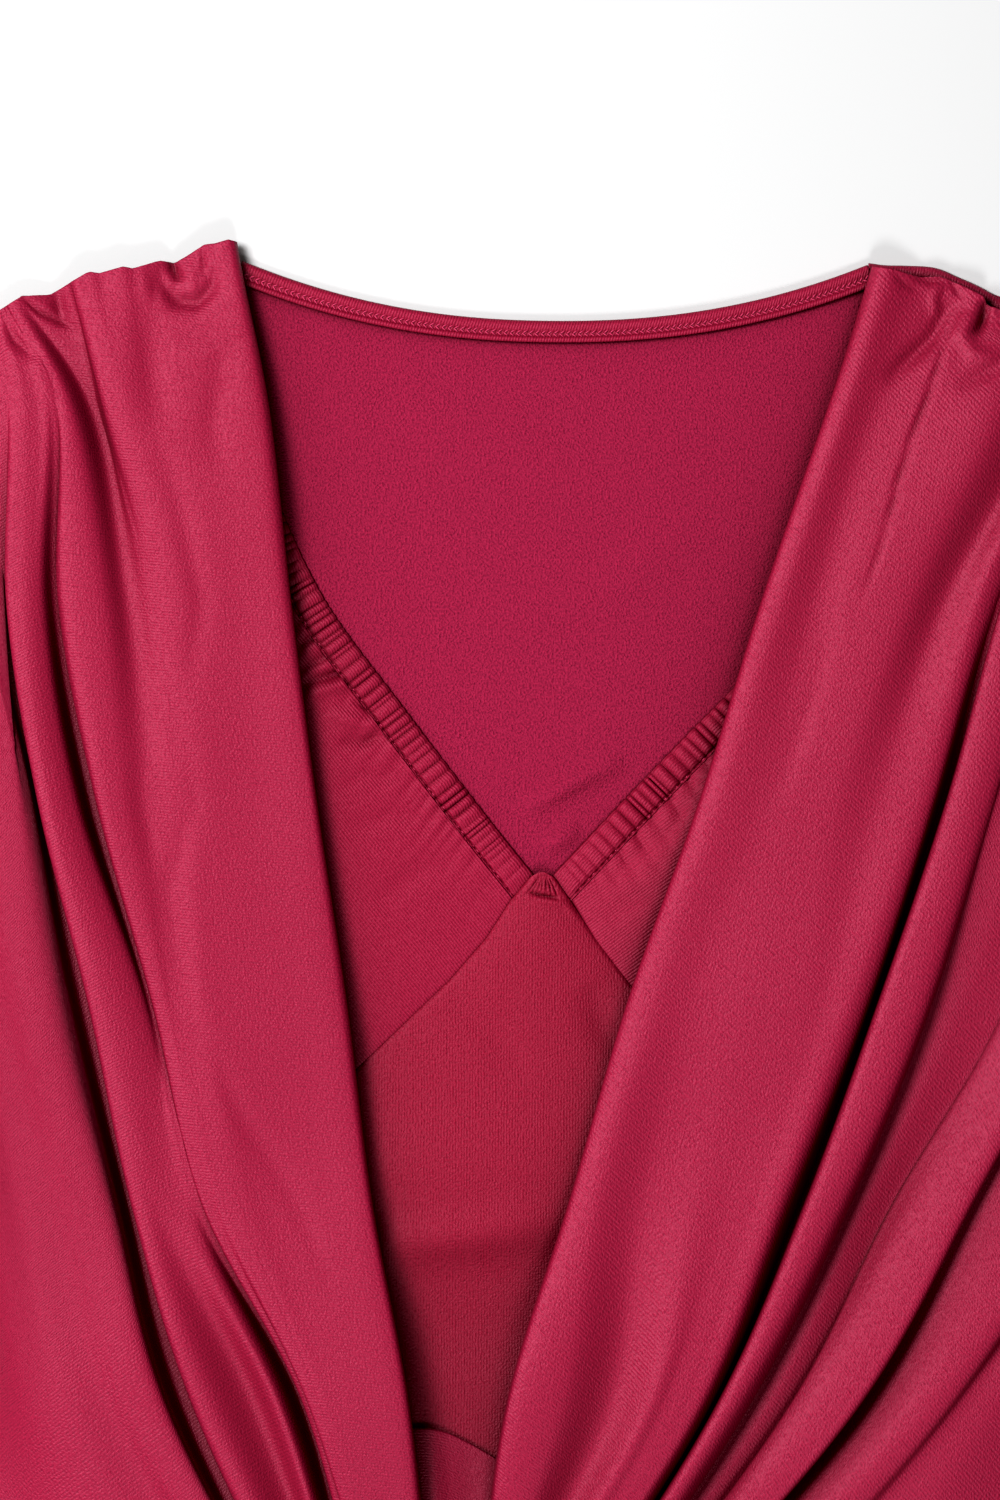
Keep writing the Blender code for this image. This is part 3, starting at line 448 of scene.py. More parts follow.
DRAPE_RIGHT = [
    ("inside",   0.05, 117.0,  91.5,  68.5,  42.0,  20.5,  -2.0, 0.05, 5.4, 5.2, 6.4, 6.4, 6.4, 6.6, 9.4, 9.0),
    ("edge",     0.00, 104.5,  79.0,  56.0,  30.0,   8.0, -15.0, 0.01, 5.8, 6.4, 7.8, 8.0, 8.0, 9.2,13.0, 9.8),
    ("rim",      0.02, 104.0,  78.5,  55.5,  29.0,   7.5, -15.5, 0.02, 7.2,10.0,11.0,11.4,11.6,14.4,18.4,12.4),
    ("face 1",   0.04, 105.0,  79.5,  56.5,  30.5,   9.0, -14.5, 0.04, 8.2,11.2,12.2,12.6,13.0,15.6,19.8,13.8),
    ("fold 1",   0.08, 109.5,  85.0,  61.5,  37.0,  16.5,   3.5, 0.08, 8.4,12.4,13.4,13.8,14.4,16.8,20.4,14.4),
    ("valley 1", 0.30, 122.0,  98.5,  79.0,  52.5,  33.5,  22.0, 0.15, 5.6,10.6,12.2,13.4,14.2,14.6,14.6,11.0),
    ("fold 2",   0.44, 139.0, 111.0,  93.0,  74.0,  54.0,  36.5, 0.24, 7.6,12.0,13.8,14.4,15.2,16.8,19.6,14.2),
    ("fold 3",   0.66, 166.5, 132.5, 106.0,  92.0,  66.5,  42.0, 0.32, 7.6,13.6,14.6,15.0,15.6,16.8,19.0,14.2),
    ("valley 2", 0.80, 185.0, 146.0, 120.5, 100.5,  74.0,  49.0, 0.36, 4.8, 8.8,11.0,14.0,15.6,17.0,19.0,14.0),
    ("fold 4",   0.82, 188.5, 157.5, 137.5, 112.5,  84.5,  55.0, 0.41, 6.2,12.0,13.8,15.2,16.2,17.4,18.6,13.4),
    ("slope 4",  0.84, 191.0, 162.0, 141.0, 117.0,  88.0,  57.5, 0.45, 5.8,11.4,13.0,14.0,14.0,14.4,16.0,11.6),
    ("wall 4",   0.85, 192.5, 164.0, 143.0, 118.5,  90.0,  59.0, 0.47, 5.2,10.4,11.9, 8.8, 8.2, 9.8,13.4, 8.8),
    ("valley 3", 0.86, 194.0, 165.0, 144.5, 120.0,  92.5,  60.5, 0.48, 4.6, 9.8,11.0, 6.2, 6.6, 6.0, 9.6, 6.2),
    ("under 5",  0.87, 194.5, 167.0, 147.5, 122.0,  94.5,  62.0, 0.50, 4.8, 9.6,10.8, 6.2, 6.4, 5.8, 9.0, 6.4),
    ("lip 5",    0.88, 195.5, 167.5, 146.5, 121.5,  94.5,  62.0, 0.52, 5.2, 9.8,12.2,14.4,16.2,17.2,18.0,13.4),
    ("fold 5",   0.91, 198.5, 174.5, 152.5, 127.5,  99.5,  65.0, 0.56, 6.0,11.4,13.4,16.0,17.8,18.6,19.4,14.8),
    ("edge 5",   0.94, 200.0, 182.0, 160.5, 138.5, 107.5,  69.5, 0.60, 5.8,11.0,13.0,15.4,17.2,17.4,18.4,13.6),
    ("drop 5",   0.96, 201.5, 185.5, 163.0, 140.5, 110.5,  73.5, 0.62, 5.2, 9.0,11.4,14.2,14.0,13.2,13.8,10.0),
    ("floor 6",  0.98, 200.5, 185.0, 163.5, 140.5, 110.5,  73.5, 0.64, 4.4, 6.0, 9.6,13.4,12.0, 9.8,10.0, 6.0),
    ("floor 6b", 1.08,  None, 197.0, 180.0, 153.5, 117.5,  82.0, 0.68, 3.8,None, 8.0,12.4,11.4, 9.6,10.4, 7.0),
    ("foot 7",   1.15,  None, 200.0, 187.0, 167.0, 125.5,  90.5, 0.71, 3.8,None, 7.4,11.6,10.4, 7.8, 9.2, 6.6),
    ("lip 7",    1.22,  None,  None, 190.0, 171.5, 128.5,  89.5, 0.73, 4.0,None,None,11.6,11.2, 9.4,13.8,10.0),
    ("fold 7",   1.35,  None,  None, 196.0, 182.0, 135.0,  95.5, 0.77, 4.6,None,None,11.6,12.8,12.8,16.6,14.0),
    ("top 7",    1.50,  None,  None, 202.0, 187.0, 149.5, 108.5, 0.82, 4.5,None,None,11.4,13.8,16.0,18.4,14.0),
    ("edge 7",   1.55,  None,  None, 205.0, 191.0, 154.5, 113.0, 0.84, 4.4,None,None,10.6,13.2,15.8,18.2,13.4),
    ("drop 7",   1.62,  None,  None, 208.0, 194.0, 155.5, 114.0, 0.87, 4.2,None,None, 8.0,10.2,12.4,12.6,10.0),
    ("black 8",  1.66,  None,  None, 207.5, 194.0, 155.5, 114.5, 0.90, 3.6,None,None, 5.0, 7.8, 9.8, 7.4, 5.6),
    ("slope 8",  1.73,  None,  None, 211.5, 200.0, 161.5, 120.5, 0.95, 3.8,None,None, 6.4, 8.8,10.6,10.8, 8.6),
    ("fold 8",   1.80,  None,  None,  None, 210.0, 179.5, 134.0, 1.02, 4.0,None,None,None,10.4,13.0,15.8,11.0),
    ("edge 8",   1.86,  None,  None,  None, 215.5, 192.5, 146.5, 1.10, 3.8,None,None,None,10.0,13.0,16.0,11.0),
    ("valley 9", 1.90,  None,  None,  None, 217.5, 197.0, 150.0, 1.16, 3.4,None,None,None, 7.0, 7.4,13.6, 7.0),
    ("fold 9",   1.95,  None,  None,  None, 221.5, 207.0, 166.5, 1.36, 3.4,None,None,None, 7.0,10.4,13.4, 9.0),
    ("flat 10",  1.98,  None,  None,  None, 223.5, 213.0, 188.0, 1.62, 2.8,None,None,None, 4.8, 6.4, 9.0, 6.6),
    ("side",     2.00,  None,  None,  None, 225.5, 216.0, 209.5, 2.00, 2.4,None,None,None, 2.4, 2.4, 2.4, 2.4),
]


# %% Drape surfaces
def outer_point(side, start):
    """A point of the drape's outer edge: along the shoulder, then down the armhole."""
    if start <= 1:
        return on_path(SHOULDER[side], start)
    tip = {side: SHOULDER[side][-1]}
    return on_path(armhole(side, tip=tip), start - 1)


def lower_point(side, end):
    """A point of the drape's lower edge: round the twist, then out along the hip seam."""
    first, last = KNOT_ARC[side]
    if end <= 1:
        return knot_point(first + (last - first) * end)
    return mix(knot_point(last), HIP_SEAM[side], end - 1)


def drape_grid(table, side, rows, spacing):
    """A cowl drape, as a smooth surface through the lines of its table. Lines far apart get more
    columns between them: one for each `spacing` mm, and at least FEWEST."""
    lines = []
    for _, start, *numbers in table:
        crossings, end, heights = numbers[:6], numbers[6], numbers[7:]
        points = [(*outer_point(side, start), heights[0])]
        points += [(x, y, z) for x, y, z in zip(crossings, LEVELS, heights[1:7]) if x is not None]
        points.append((*lower_point(side, end), heights[7]))
        lines.append(along(points, rows, CROWD))
    apart = np.linalg.norm(np.diff(np.array(lines), axis=0), axis=-1)
    counts = np.round(np.maximum(apart.mean(axis=1), 0.7 * apart[:, 0]) / spacing).astype(int)
    counts = np.maximum(counts, FEWEST)
    grid = across(lines, counts)
    z = grid[..., 2]
    grid[..., 2] = np.where(z > FLOOR_Z, FLOOR_Z + (z - FLOOR_Z) * LIFT, z)
    # The gathered shoulder edge has bumps between the lines: the first rows are drawn onto it,
    # and each bump runs down as a small ridge.
    starts = np.interp(spread(len(lines), counts), np.arange(len(table)), [row[1] for row in table])
    pull = np.array([outer_point(side, s) for s in starts]) - grid[:, 0, :2]
    run = arc(grid, 1)
    grid[..., :2] += pull[:, None] * np.exp(-(run / DRAWN) ** 2)[..., None]
    grid[..., 2] += BUMP * pull[:, 1:] * np.exp(-run / RIDGE_RUN)
    limit = half_width(side, grid[..., 1]) - SIDE_GAP
    grid[..., 0] = np.clip(grid[..., 0], -limit, limit)
    return grid


FLOOR_Z, LIFT = 4.6, 1.14       # folds stand this much taller above the valleys' floor
CROWD = 1.35                    # above 1, rows lie closer together near the shoulder
FEWEST = 4                      # columns between two lines
DRAWN = 10.0                    # how far down the shoulder's bumps still draw the cloth
BUMP, RIDGE_RUN = 0.6, 16.0     # height of a bump's ridge for its size, and how far it runs
SIDE_GAP = 0.6                  # the drapes end this far inside the side seams
DRAPE_ROWS, DRAPE_SPACING = ((150, 1.14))
# Share of the columns and how steeply the ribs climb there, as fold_map takes them.
RIB_SLOPES = {"left": ((0.0, 0.09), (0.3, 0.09), (0.42, -0.55), (1.0, -0.6)),
              "right": ((0.0, -0.7), (0.5, -0.8), (0.7, -0.9), (1.0, -0.7))}
# Gathers and soft dents, where the folds leave the shoulder seams and on the broad face.
DRAPE_CREASES = {
    "left": [
        (1.3, 3.4, [(-139.8, 425), (-139.2, 420.8), (-136.9, 415)]),
        (2.4, 2.4, [(-143.6, 422.5), (-142.8, 414), (-137.6, 408), (-130.2, 407.2), (-124.7, 412.7),
                    (-123.6, 421)]),
        (1.2, 1.1, [(-148, 422.5), (-146.5, 414), (-145.4, 407)]),
        (0.9, 0.8, [(-145, 424), (-144.2, 416), (-142.5, 411)]),
        (1.2, 0.9, [(-128.4, 429), (-127.7, 421), (-127.3, 417)]),
        (2, -0.8, [(-134, 423), (-132, 415), (-131, 411.5)]),
        (0.8, 0.6, [(-174.3, 414), (-172.4, 397), (-170.2, 386), (-167.2, 372), (-162.8, 357),
                    (-157.3, 341), (-151, 318)]),
        (1.1, 2, [(-196, 410.5), (-188.7, 404), (-181, 400.5), (-173.5, 398)]),
        (2.2, 2, [(-182.5, 413), (-181, 405), (-178.5, 399.5)]),
        (2.4, 1.6, [(-203, 404), (-198, 394), (-188, 386)]),
        (7, 1.6, [(-146, 410), (-147, 394), (-146, 378), (-143, 358)]),
        (5, 0.8, [(-120, 396), (-121, 380), (-124, 362), (-122, 345)]),
        (4.5, 0.8, [(-146, 362), (-136.9, 335), (-128.4, 298), (-133, 262)]),
        (4, 0.5, [(-139, 268), (-131, 224), (-140, 190), (-134, 150)]),
        (3.5, 0.5, [(-152, 240), (-151, 222), (-146, 200)]),
        (4, 0.5, [(-132, 150), (-116.5, 113), (-93, 76), (-78, 40)]),
        (1, 0.35, [(-121, 395), (-115, 392), (-110, 397)]),
        (2.5, -0.5, [(-118, 391), (-128, 388), (-140, 388)]),
    ],
    "right": [
        (1.5, 4.2, [(161, 408), (159.5, 401), (157, 395)]),
        (0.8, 1.5, [(155, 409), (149, 401), (145.4, 392.4), (142.5, 382.4), (138.8, 372), (135, 362),
                    (129.5, 346), (125, 327.6), (115.4, 298)]),
        (3.2, 2.4, [(153, 408.5), (146.5, 404.5), (141, 394.5), (134, 388), (124, 378)]),
        (1.3, 1.3, [(134, 418), (141, 415), (146.5, 416.5)]),
        (1.5, -1.3, [(144, 416), (141.5, 409), (142.5, 402)]),
        (1, 1.1, [(147.5, 417), (150.5, 411.5), (153.5, 408)]),
        (1, 1, [(126, 419.5), (131, 414), (137, 412)]),
        (2.2, -1.5, [(155.5, 404), (152, 396), (156, 388.5), (166, 386.5)]),
        (3, 1.4, [(150, 376), (162, 382), (170, 388)]),
        (4, 0.5, [(106, 298), (97, 261), (83, 224)]),
    ],
}
SWELL, SWELL_SIZE = 0.25, 70.0     # of the broad faces, so that they aren't ruled
for side, table in (("left", DRAPE_LEFT), ("right", DRAPE_RIGHT)):
    grid = drape_grid(table, side, DRAPE_ROWS, DRAPE_SPACING)
    grid = creased(uneven(grid, SWELL, SWELL_SIZE, 1), DRAPE_CREASES[side])
    cloth(f"{side}_drape", f"drape_{side}", grid, SATIN,
                         uv=fold_map(grid, RIB_SLOPES[side]))

# %% [markdown]
# ## The back and its neck edge
# Only the inside of the back shows: one flat, dull surface with a few soft creases, two of which
# stand up behind the point of the V. A plane cut to the outline would do, but a grid that follows the
# scoop and the side seams has clean edges and can take creases. The neck edge is turned over once
# and held by two rows of small stitches; it is a band swept along the scoop.

# %% Back
# The right shoulder's seam edge shows above the drape.
BACK_SHOULDER = [(123.6, 420.5), (131.7, 420.1), (142.1, 419.7), (149.9, 417.1), (157.6, 414.2),
                 (166.5, 410.1)]
BACK_Z = 0.6


def back_grid(columns, rows):
    """The whole back. Column s runs from (s * half hem, hem) to the shoulder or the scoop at s;
    its width follows the side seams and the armholes."""
    t = np.linspace(-1, 1, columns)
    s = np.sign(t) * np.abs(t) ** 1.4
    neck = scoop(np.linspace(-1, 1, 41))
    top = np.vstack([SHOULDER_TIP["left"], neck, BACK_SHOULDER, SHOULDER_TIP["right"]])
    top_x = np.interp(s, np.linspace(-1, 1, 3), [top[0, 0], 1.75, top[-1, 0]])
    top_y = np.interp(top_x, top[:, 0], top[:, 1])
    v = np.interp(np.linspace(0, 1, rows), (0.0, 0.3, 0.7, 1.0), (0.0, 0.73, 0.84, 1.0))
    y = HEM_Y + (top_y[:, None] - HEM_Y) * v
    width = np.where(s[:, None] < 0, half_width("left", y), half_width("right", y))
    x = s[:, None] * width
    return np.stack([x, y, np.full_like(x, BACK_Z)], axis=-1)


BACK_CREASES = [
    (2.6, -2, [(-2.5, 206.5), (3, 209), (11, 213.5)]),
    (3.2, -2.4, [(-11, 220), (-4, 223.5), (12, 232), (27, 239)]),
    (9, -0.7, [(60, 330), (20, 300), (-30, 290)]),
    (8, -0.6, [(-60, 370), (0, 350), (60, 352)]),
]
BACK_SIZE = ((150, 120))
back_form = creased(back_grid(*BACK_SIZE), BACK_CREASES)
back = cloth("back_cloth", "back", back_form, INSIDE, uv=plan_map(back_form, 0.0))

# %% Neck edge
BINDING_WIDTH, BINDING_SPAN = 7.4, 2
# Across the turned edge: share of its width and height of its middle surface.
BINDING_PROFILE = ((0.0, 1.5), (0.03, 2.2), (0.12, 2.8), (0.3, 2.9), (0.42, 2.7), (0.5, 2.3), (0.66, 2.2),
                   (0.76, 2.4), (0.83, 3.0), (0.93, 3.1), (1.0, 2.7))


def binding_grid(rows):
    """A band along the scoop, with a rounded top edge."""
    edge = scoop(np.linspace(-1, 1, rows))
    inward = normals_along(edge, -1)
    return across([np.column_stack([edge + inward * BINDING_WIDTH * s, np.full(rows, z)])
                   for s, z in BINDING_PROFILE], BINDING_SPAN)


neck_form = binding_grid(300)
neck_edge = cloth("neck_edge", "neck_binding", neck_form, INNER_FACE)

# %% Shoulder seam edge
def ribbon(path, width, height):
    """A narrow rounded band along a path, for the seam edge behind the right shoulder."""
    line = along(path, 90)
    side_ways = normals_along(line, 1)
    lines = [np.column_stack([line + side_ways * width * (s - 0.5), np.full(len(line), z)])
             for s, z in ((0.0, 0.9), (0.15, height), (0.5, height + 0.3), (0.85, height), (1.0, 0.9))]
    return across(lines, 3)


shoulder_edge = cloth("shoulder_edge", None, ribbon(
    [(117.5, 420.2), (123.6, 419.4), (131.7, 419.2), (142.1, 418.4), (149.9, 415.2), (157.6, 411.8),
     (166.5, 406.9), (180.0, 402.6)], 4.0, 1.9), SATIN)

# %% [markdown]
# ## The inner front
# Elastic is run through a casing along the V, and gathers it. Each gather is a small ridge across
# the casing, none quite like its neighbour, and the longer ones run on into the cup below it as
# puckers. They are largest high on the left, and fade towards the point of the V. A bump texture
# would show no outline at the edge, so the gathers are waves in the mesh, of random width and height.

# %% Elastic casings
INNER_EDGE = {
    "left": [(-7, 197), (-25, 219.5), (-54, 257.5), (-83, 297), (-101, 334),
             (-108, 352), (-124, 416)],
    "right": [(2.2, 197), (24, 220), (50, 247), (74, 272), (90, 296),
              (104, 330), (125, 412)],
}
CASING_WIDTH = 11.2
STITCH_SHARE = 0.92        # where its stitches lie, across the casing
# Across the casing: share of its width, height, and how much of the gathers it has.
CASING_PROFILE = ((0.0, 1.25, 0.4), (0.04, 1.9, 0.7), (0.14, 2.5, 0.9), (0.38, 2.9, 1.0), (0.6, 3.0, 1.0),
                  (0.8, 2.9, 1.0), (0.88, 2.4, 0.8), (0.92, 2.1, 0.6), (0.96, 2.4, 0.7), (1.0, 2.6, 0.8))
GATHER = {"left": 3.4, "right": 3.6}
CASING_SPAN = 3            # columns between two of these lines
DENT = 2.9                 # how far apart the needle's dents lie
DENT_DEPTH, DENT_WIDTH = 0.9, 0.03
CASING_Z = 1.9             # where the casing lies flat
GATHER_HEIGHT = 2.0
FADE, SEAM_RUN = 40.0, 5.0      # where gathers die out at both ends, and the casing at the V's point


def gather_wave(run, pitch, seed):
    """Ridges about one pitch apart, each with its own width and height."""
    rng = np.random.default_rng(seed)
    steps = pitch * rng.uniform(0.5, 1.6, int(run[-1] / pitch * 2.2))
    marks = np.concatenate([[0], np.cumsum(steps)])
    heights = rng.uniform(0.35, 1.0, len(marks))
    phase = np.interp(run, marks, np.arange(len(marks)))
    size = np.interp(phase, np.arange(len(marks)), heights)
    return size * (np.abs(np.sin(math.pi * phase)) ** 0.6 - 0.6)


def casing(side, rows):
    """The edge line, the direction into the cup, the run along it and the gathers' wave."""
    edge = along(INNER_EDGE[side], rows)
    inward = normals_along(edge, 1 if side == "left" else -1)
    run = arc(edge[None], 1)[0]
    wave = gather_wave(run, GATHER[side], 5 if side == "left" else 9)
    return edge, inward, run, wave


def elastic_grid(side, rows):
    """The gathered casing. z = profile + wave * how much gather the edge has there."""
    edge, inward, run, wave = casing(side, rows)
    shown = np.clip(run / FADE, 0.3, 1.0)
    hidden = np.clip((run[-1] - run) / FADE, 0.0, 1.0)
    flat = (0.35 + 0.65 * hidden) * np.clip(run / SEAM_RUN + 0.2, 0.0, 1.0)
    forward = np.gradient(edge, axis=0)
    forward /= np.linalg.norm(forward, axis=1)[:, None]
    lines = []
    for share, height, amount in CASING_PROFILE:
        z = CASING_Z + (height - CASING_Z) * flat + wave * shown * hidden * amount * GATHER_HEIGHT
        dent = DENT_DEPTH * math.exp(-((share - STITCH_SHARE) / DENT_WIDTH) ** 2)
        z -= dent * np.cos(math.pi * run / DENT) ** 4
        scallop = inward * ((1 - share) * -0.4 * wave * shown)[:, None]
        to_seam = forward * (-(1.6 + 2.4 * share) * np.exp(-run / SEAM_RUN))[:, None]
        lines.append(np.column_stack([edge + inward * CASING_WIDTH * share + scallop + to_seam, z]))
    return across(lines, CASING_SPAN)


def length_map(grid):
    """A map whose ribs run along the piece, as on a strip that is cut with them."""
    return np.stack([arc(grid, 1), arc(grid, 0)], axis=-1)


FINE_ROWS = 620
CASING_ROWS = FINE_ROWS
for side in ("left", "right"):
    grid = elastic_grid(side, CASING_ROWS)
    cloth(f"{side}_elastic", f"elastic_{side}", grid, INNER_FACE,
                           uv=length_map(grid))

# %% [markdown]
# ## The cups
# Two smooth panels lie on each side of the V, and the casing's gathers pull puckers into their upper
# edges. Each cup is one grid between four borders: casing, centre seam, side seam and shoulder. Its
# swell and its fading puckers are formulas; the few large creases near the drape are listed one by one.

# %% Cups
INNER_SIDE = {
    "left": [(-188, 18), (-198, 100), (-206, 190), (-190, 296), (-178, 402)],
    "right": [(188, 18), (198, 100), (206, 190), (190, 292), (176, 394)],
}
CUP_SEAM = {
    "left": [(-8, 194.8), (-15, 186.3), (-23.5, 173), (-37, 157.5), (-62, 133.5),
             (-112, 86), (-188, 18)],
    "right": [(2, 194.8), (8.5, 185.2), (16.7, 172.6), (29.6, 155.6), (56, 126),
              (112, 78), (188, 18)],
}
CUP_Z = 2.4
# How high each cup swells, and at which share of its width it is back down.
CUP_SWELL = {"left": (2.9, 0.45), "right": (4.0, 0.17)}
PUCKER = 6.5               # mm between the cups' puckers
PUCKER_HEIGHT, PUCKER_REACH = 2.3, 8.0
EDGE_DROP, EDGE_WIDTH = 1.3, 0.8     # the cup dips under the casing
CUP_CREASES = {
    "left": [
        (1.3, 1.9, [(-94, 281), (-88, 283.5), (-81, 287)]),
        (1.4, 1.9, [(-93, 272.5), (-86, 275), (-78, 280)]),
        (1.5, 2.4, [(-94, 265.5), (-86, 269), (-77.5, 271), (-70.5, 271.5)]),
        (1.8, -1.7, [(-91, 261), (-83.5, 265), (-73, 267.5)]),
        (1.2, 1.4, [(-73, 261), (-68, 258), (-64, 256)]),
        (2.4, -1.4, [(-82, 256.5), (-72, 253), (-61, 251.5)]),
        (1.6, 1.9, [(-78, 246), (-68.5, 245.5), (-59.5, 248.5)]),
        (3, 0.6, [(-80, 228), (-66, 233), (-50, 232)]),
        (3.5, 0.6, [(-76, 212), (-60, 218), (-42, 217)]),
        (4.5, 0.6, [(-66, 184), (-50, 197), (-34, 203)]),
    ],
    "right": [
        (2.5, 0.8, [(36, 205), (45, 213), (53, 227)]),
        (2.5, 0.7, [(22, 195), (33, 204), (39, 213)]),
        (3.5, 0.7, [(20, 180), (32, 188), (44, 192)]),
    ],
}
CUP_RIBS = {"left": -50.0, "right": 36.0}     # degrees


def cup_grid(side, rows, columns):
    """A cup: between the casing, the seam to the centre panel, the side and the shoulder. Its
    puckers die out as exp(-distance / PUCKER_REACH)."""
    edge, inward, run, _ = casing(side, CASING_ROWS)
    pick = np.linspace(0, 1, rows) ** 1.25 * (CASING_ROWS - 1)
    index = np.arange(CASING_ROWS)
    forward = np.gradient(edge, axis=0)
    forward /= np.linalg.norm(forward, axis=1)[:, None]
    start = edge + inward * (CASING_WIDTH + 0.1) - forward * (4.0 * np.exp(-run / SEAM_RUN))[:, None]
    neck = np.column_stack([np.interp(pick, index, start[:, i]) for i in range(2)])
    window = np.hanning(11) / np.hanning(11).sum()
    slow = np.convolve(gather_wave(run, PUCKER, 5 if side == "left" else 9), window, mode="same")
    pucker = np.interp(pick, index, slow)
    place = np.interp(pick, index, run)
    u = (place / run[-1])[:, None]
    outer = on_path(INNER_SIDE[side], u[:, 0])
    sign = -1 if side == "left" else 1
    seam = [neck[0], *(np.array(CUP_SEAM[side][2:-1]) - (sign * 0.7, 0.7)), outer[0]]
    s = np.linspace(0, 1, columns) ** 1.7
    pull = on_path(seam, s)[:, None] - (mix(neck[0], outer[0], s[:, None]))[:, None]
    xy = neck * (1 - s[:, None, None]) + outer * s[:, None, None] + pull * (1 - u) ** 1.5
    far = np.linalg.norm(xy - neck, axis=-1)
    fade = np.clip(place / 30.0, 0.15, 1.0) * np.clip((run[-1] - place) / 60.0, 0.0, 1.0)
    swell, width = CUP_SWELL[side]
    across_swell = np.sin(math.pi * np.minimum(s / width, 1.0))[:, None]
    z = CUP_Z + swell * across_swell * np.sin(math.pi * u[:, 0]) ** 0.5
    z = z + pucker * fade * PUCKER_HEIGHT * np.exp(-far / PUCKER_REACH)
    z = z - EDGE_DROP * np.exp(-(np.linalg.norm(xy - xy[:, :1], axis=-1) / EDGE_WIDTH) ** 2)
    return np.concatenate([xy, z[..., None]], axis=-1)


CUP_SIZE = ((235, 54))
for side in ("left", "right"):
    grid = creased(cup_grid(side, *CUP_SIZE), CUP_CREASES[side])
    cloth(f"{side}_cup", f"cup_{side}", grid, INNER_FACE,
                       uv=plan_map(grid, CUP_RIBS[side]))

# %% [markdown]
# ## The centre panel
# It comes to a small rounded point at the V, where seven short gathers meet under a tack of thread.
# Lower down, the drapes' pull raises a broad soft roll across it. The seams to the cups are its
# borders, 0.4 mm clear of them on each side, so that they read as fine dark lines.

# %% Centre panel
CENTRE_BOTTOM_Y = -66.0
CENTRE_CREASES = [
    (9, -3.6, [(-72, 57), (-55, 61), (-30, 63), (-8, 66), (12, 69)]),
    (24, -3, [(-90, 84), (-30, 86), (40, 88)]),
    (16, 1.4, [(-90, 26), (-34, 28), (40, 28)]),
    (0.6, 2, [(-8, 190.2), (-3.7, 188.9), (3.2, 187.8)]),
    (1.2, -0.6, [(-9, 188.6), (-3.7, 187.2), (6, 185.2), (10, 180)]),
    (0.35, 0.6, [(-3.6, 196.4), (-6.6, 192), (-9.4, 188.6)]),
    (0.35, 0.6, [(-3.1, 196.4), (-5.3, 192.2), (-7.3, 188.9)]),
    (0.35, 0.6, [(-2.7, 196.4), (-4, 192.3), (-5.2, 189.2)]),
    (0.35, 0.6, [(-2.3, 196.4), (-2.8, 192.5), (-3.3, 189.5)]),
    (0.35, 0.6, [(-1.8, 196.4), (-1.5, 192.4), (-1.2, 188.9)]),
    (0.35, 0.6, [(-1.4, 196.4), (-0.2, 192.2), (0.8, 188.2)]),
    (0.35, 0.6, [(-0.9, 196.4), (1.2, 192), (3.1, 187.3)]),
    (6, 1.2, [(14, 156), (20, 140), (28, 126)]),
    (7, 0.7, [(-40, 150), (-20, 140), (-10, 120)]),
]


def centre_grid(rows, columns):
    """The centre panel: a rounded point, then as wide as the two seams let it be."""
    left = np.array([*CUP_SEAM["left"], (-190.0, CENTRE_BOTTOM_Y)])
    right = np.array([*CUP_SEAM["right"], (190.0, CENTRE_BOTTOM_Y)])
    top = min(left[0, 1], right[0, 1])
    down = np.linspace(0, 1, rows) ** 1.5
    y = top + (CENTRE_BOTTOM_Y - top) * down
    x_left = np.interp(-y, -left[:, 1], left[:, 0]) + 0.4
    x_right = np.interp(-y, -right[:, 1], right[:, 0]) - 0.4
    s = (1 - np.cos(math.pi * np.linspace(0, 1, columns)))[:, None] / 2
    x = x_left * (1 - s) + x_right * s
    inside = np.minimum(s, 1 - s) * (x_right - x_left)
    bulge = np.sin(math.pi * s)
    z = 2.9 + 2.0 * bulge ** 0.6 * np.sin(math.pi * np.minimum(down * 1.5 + 0.15, 1.0))
    z -= 0.2 * np.exp(-(inside / 0.8) ** 2)
    return np.stack([x, y + 2.6 * bulge * (1 - down) ** 8, z], axis=-1)


CENTRE_SIZE = ((170, 70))
centre_form = creased(centre_grid(*CENTRE_SIZE), CENTRE_CREASES)
centre = cloth("centre_cloth", "centre_panel", centre_form, CENTRE_FACE,
               uv=plan_map(centre_form, 90.0))

# %% [markdown]
# ## The foot of the opening, the twist and the skirt
# Where the drapes meet, a strip of cloth is drawn down into the twist. Below the waist the folds
# cross in the twist and open out again into the skirt. None of these needs a new tool: each is a
# smooth surface through lines again, a fan for the skirt and two pleated straps for the twist.

# %% Tuck
TUCK_EDGE = [(-66, -11), (-52, -8), (-40, -9), (-22, -18), (-10, -26)]
TUCK_FOLDS = (0.0, 0.8, 2.2, 3.0, 1.2, 0.2, 1.0, 0.8, 0.0)


def tuck_grid(rows, per_span):
    """Its edge rests on the centre panel, and from there it climbs into the twist."""
    columns = len(TUCK_FOLDS)
    top = along(TUCK_EDGE, columns)
    u = np.linspace(0, 1, rows)
    lines = []
    for j, fold in enumerate(TUCK_FOLDS):
        foot = knot_point(112.0 - 46.0 * j / (columns - 1), 3.0)
        xy = top[j] + (foot - top[j]) * u[:, None]
        lines.append(np.column_stack([xy, 4.2 + 2.5 * u + fold * np.sin(math.pi * (0.15 + 0.7 * u))]))
    return across(lines, per_span)


TUCK_SIZE = ((50, 8))
tuck = cloth("tuck_cloth", "tuck", tuck_grid(*TUCK_SIZE), SATIN)


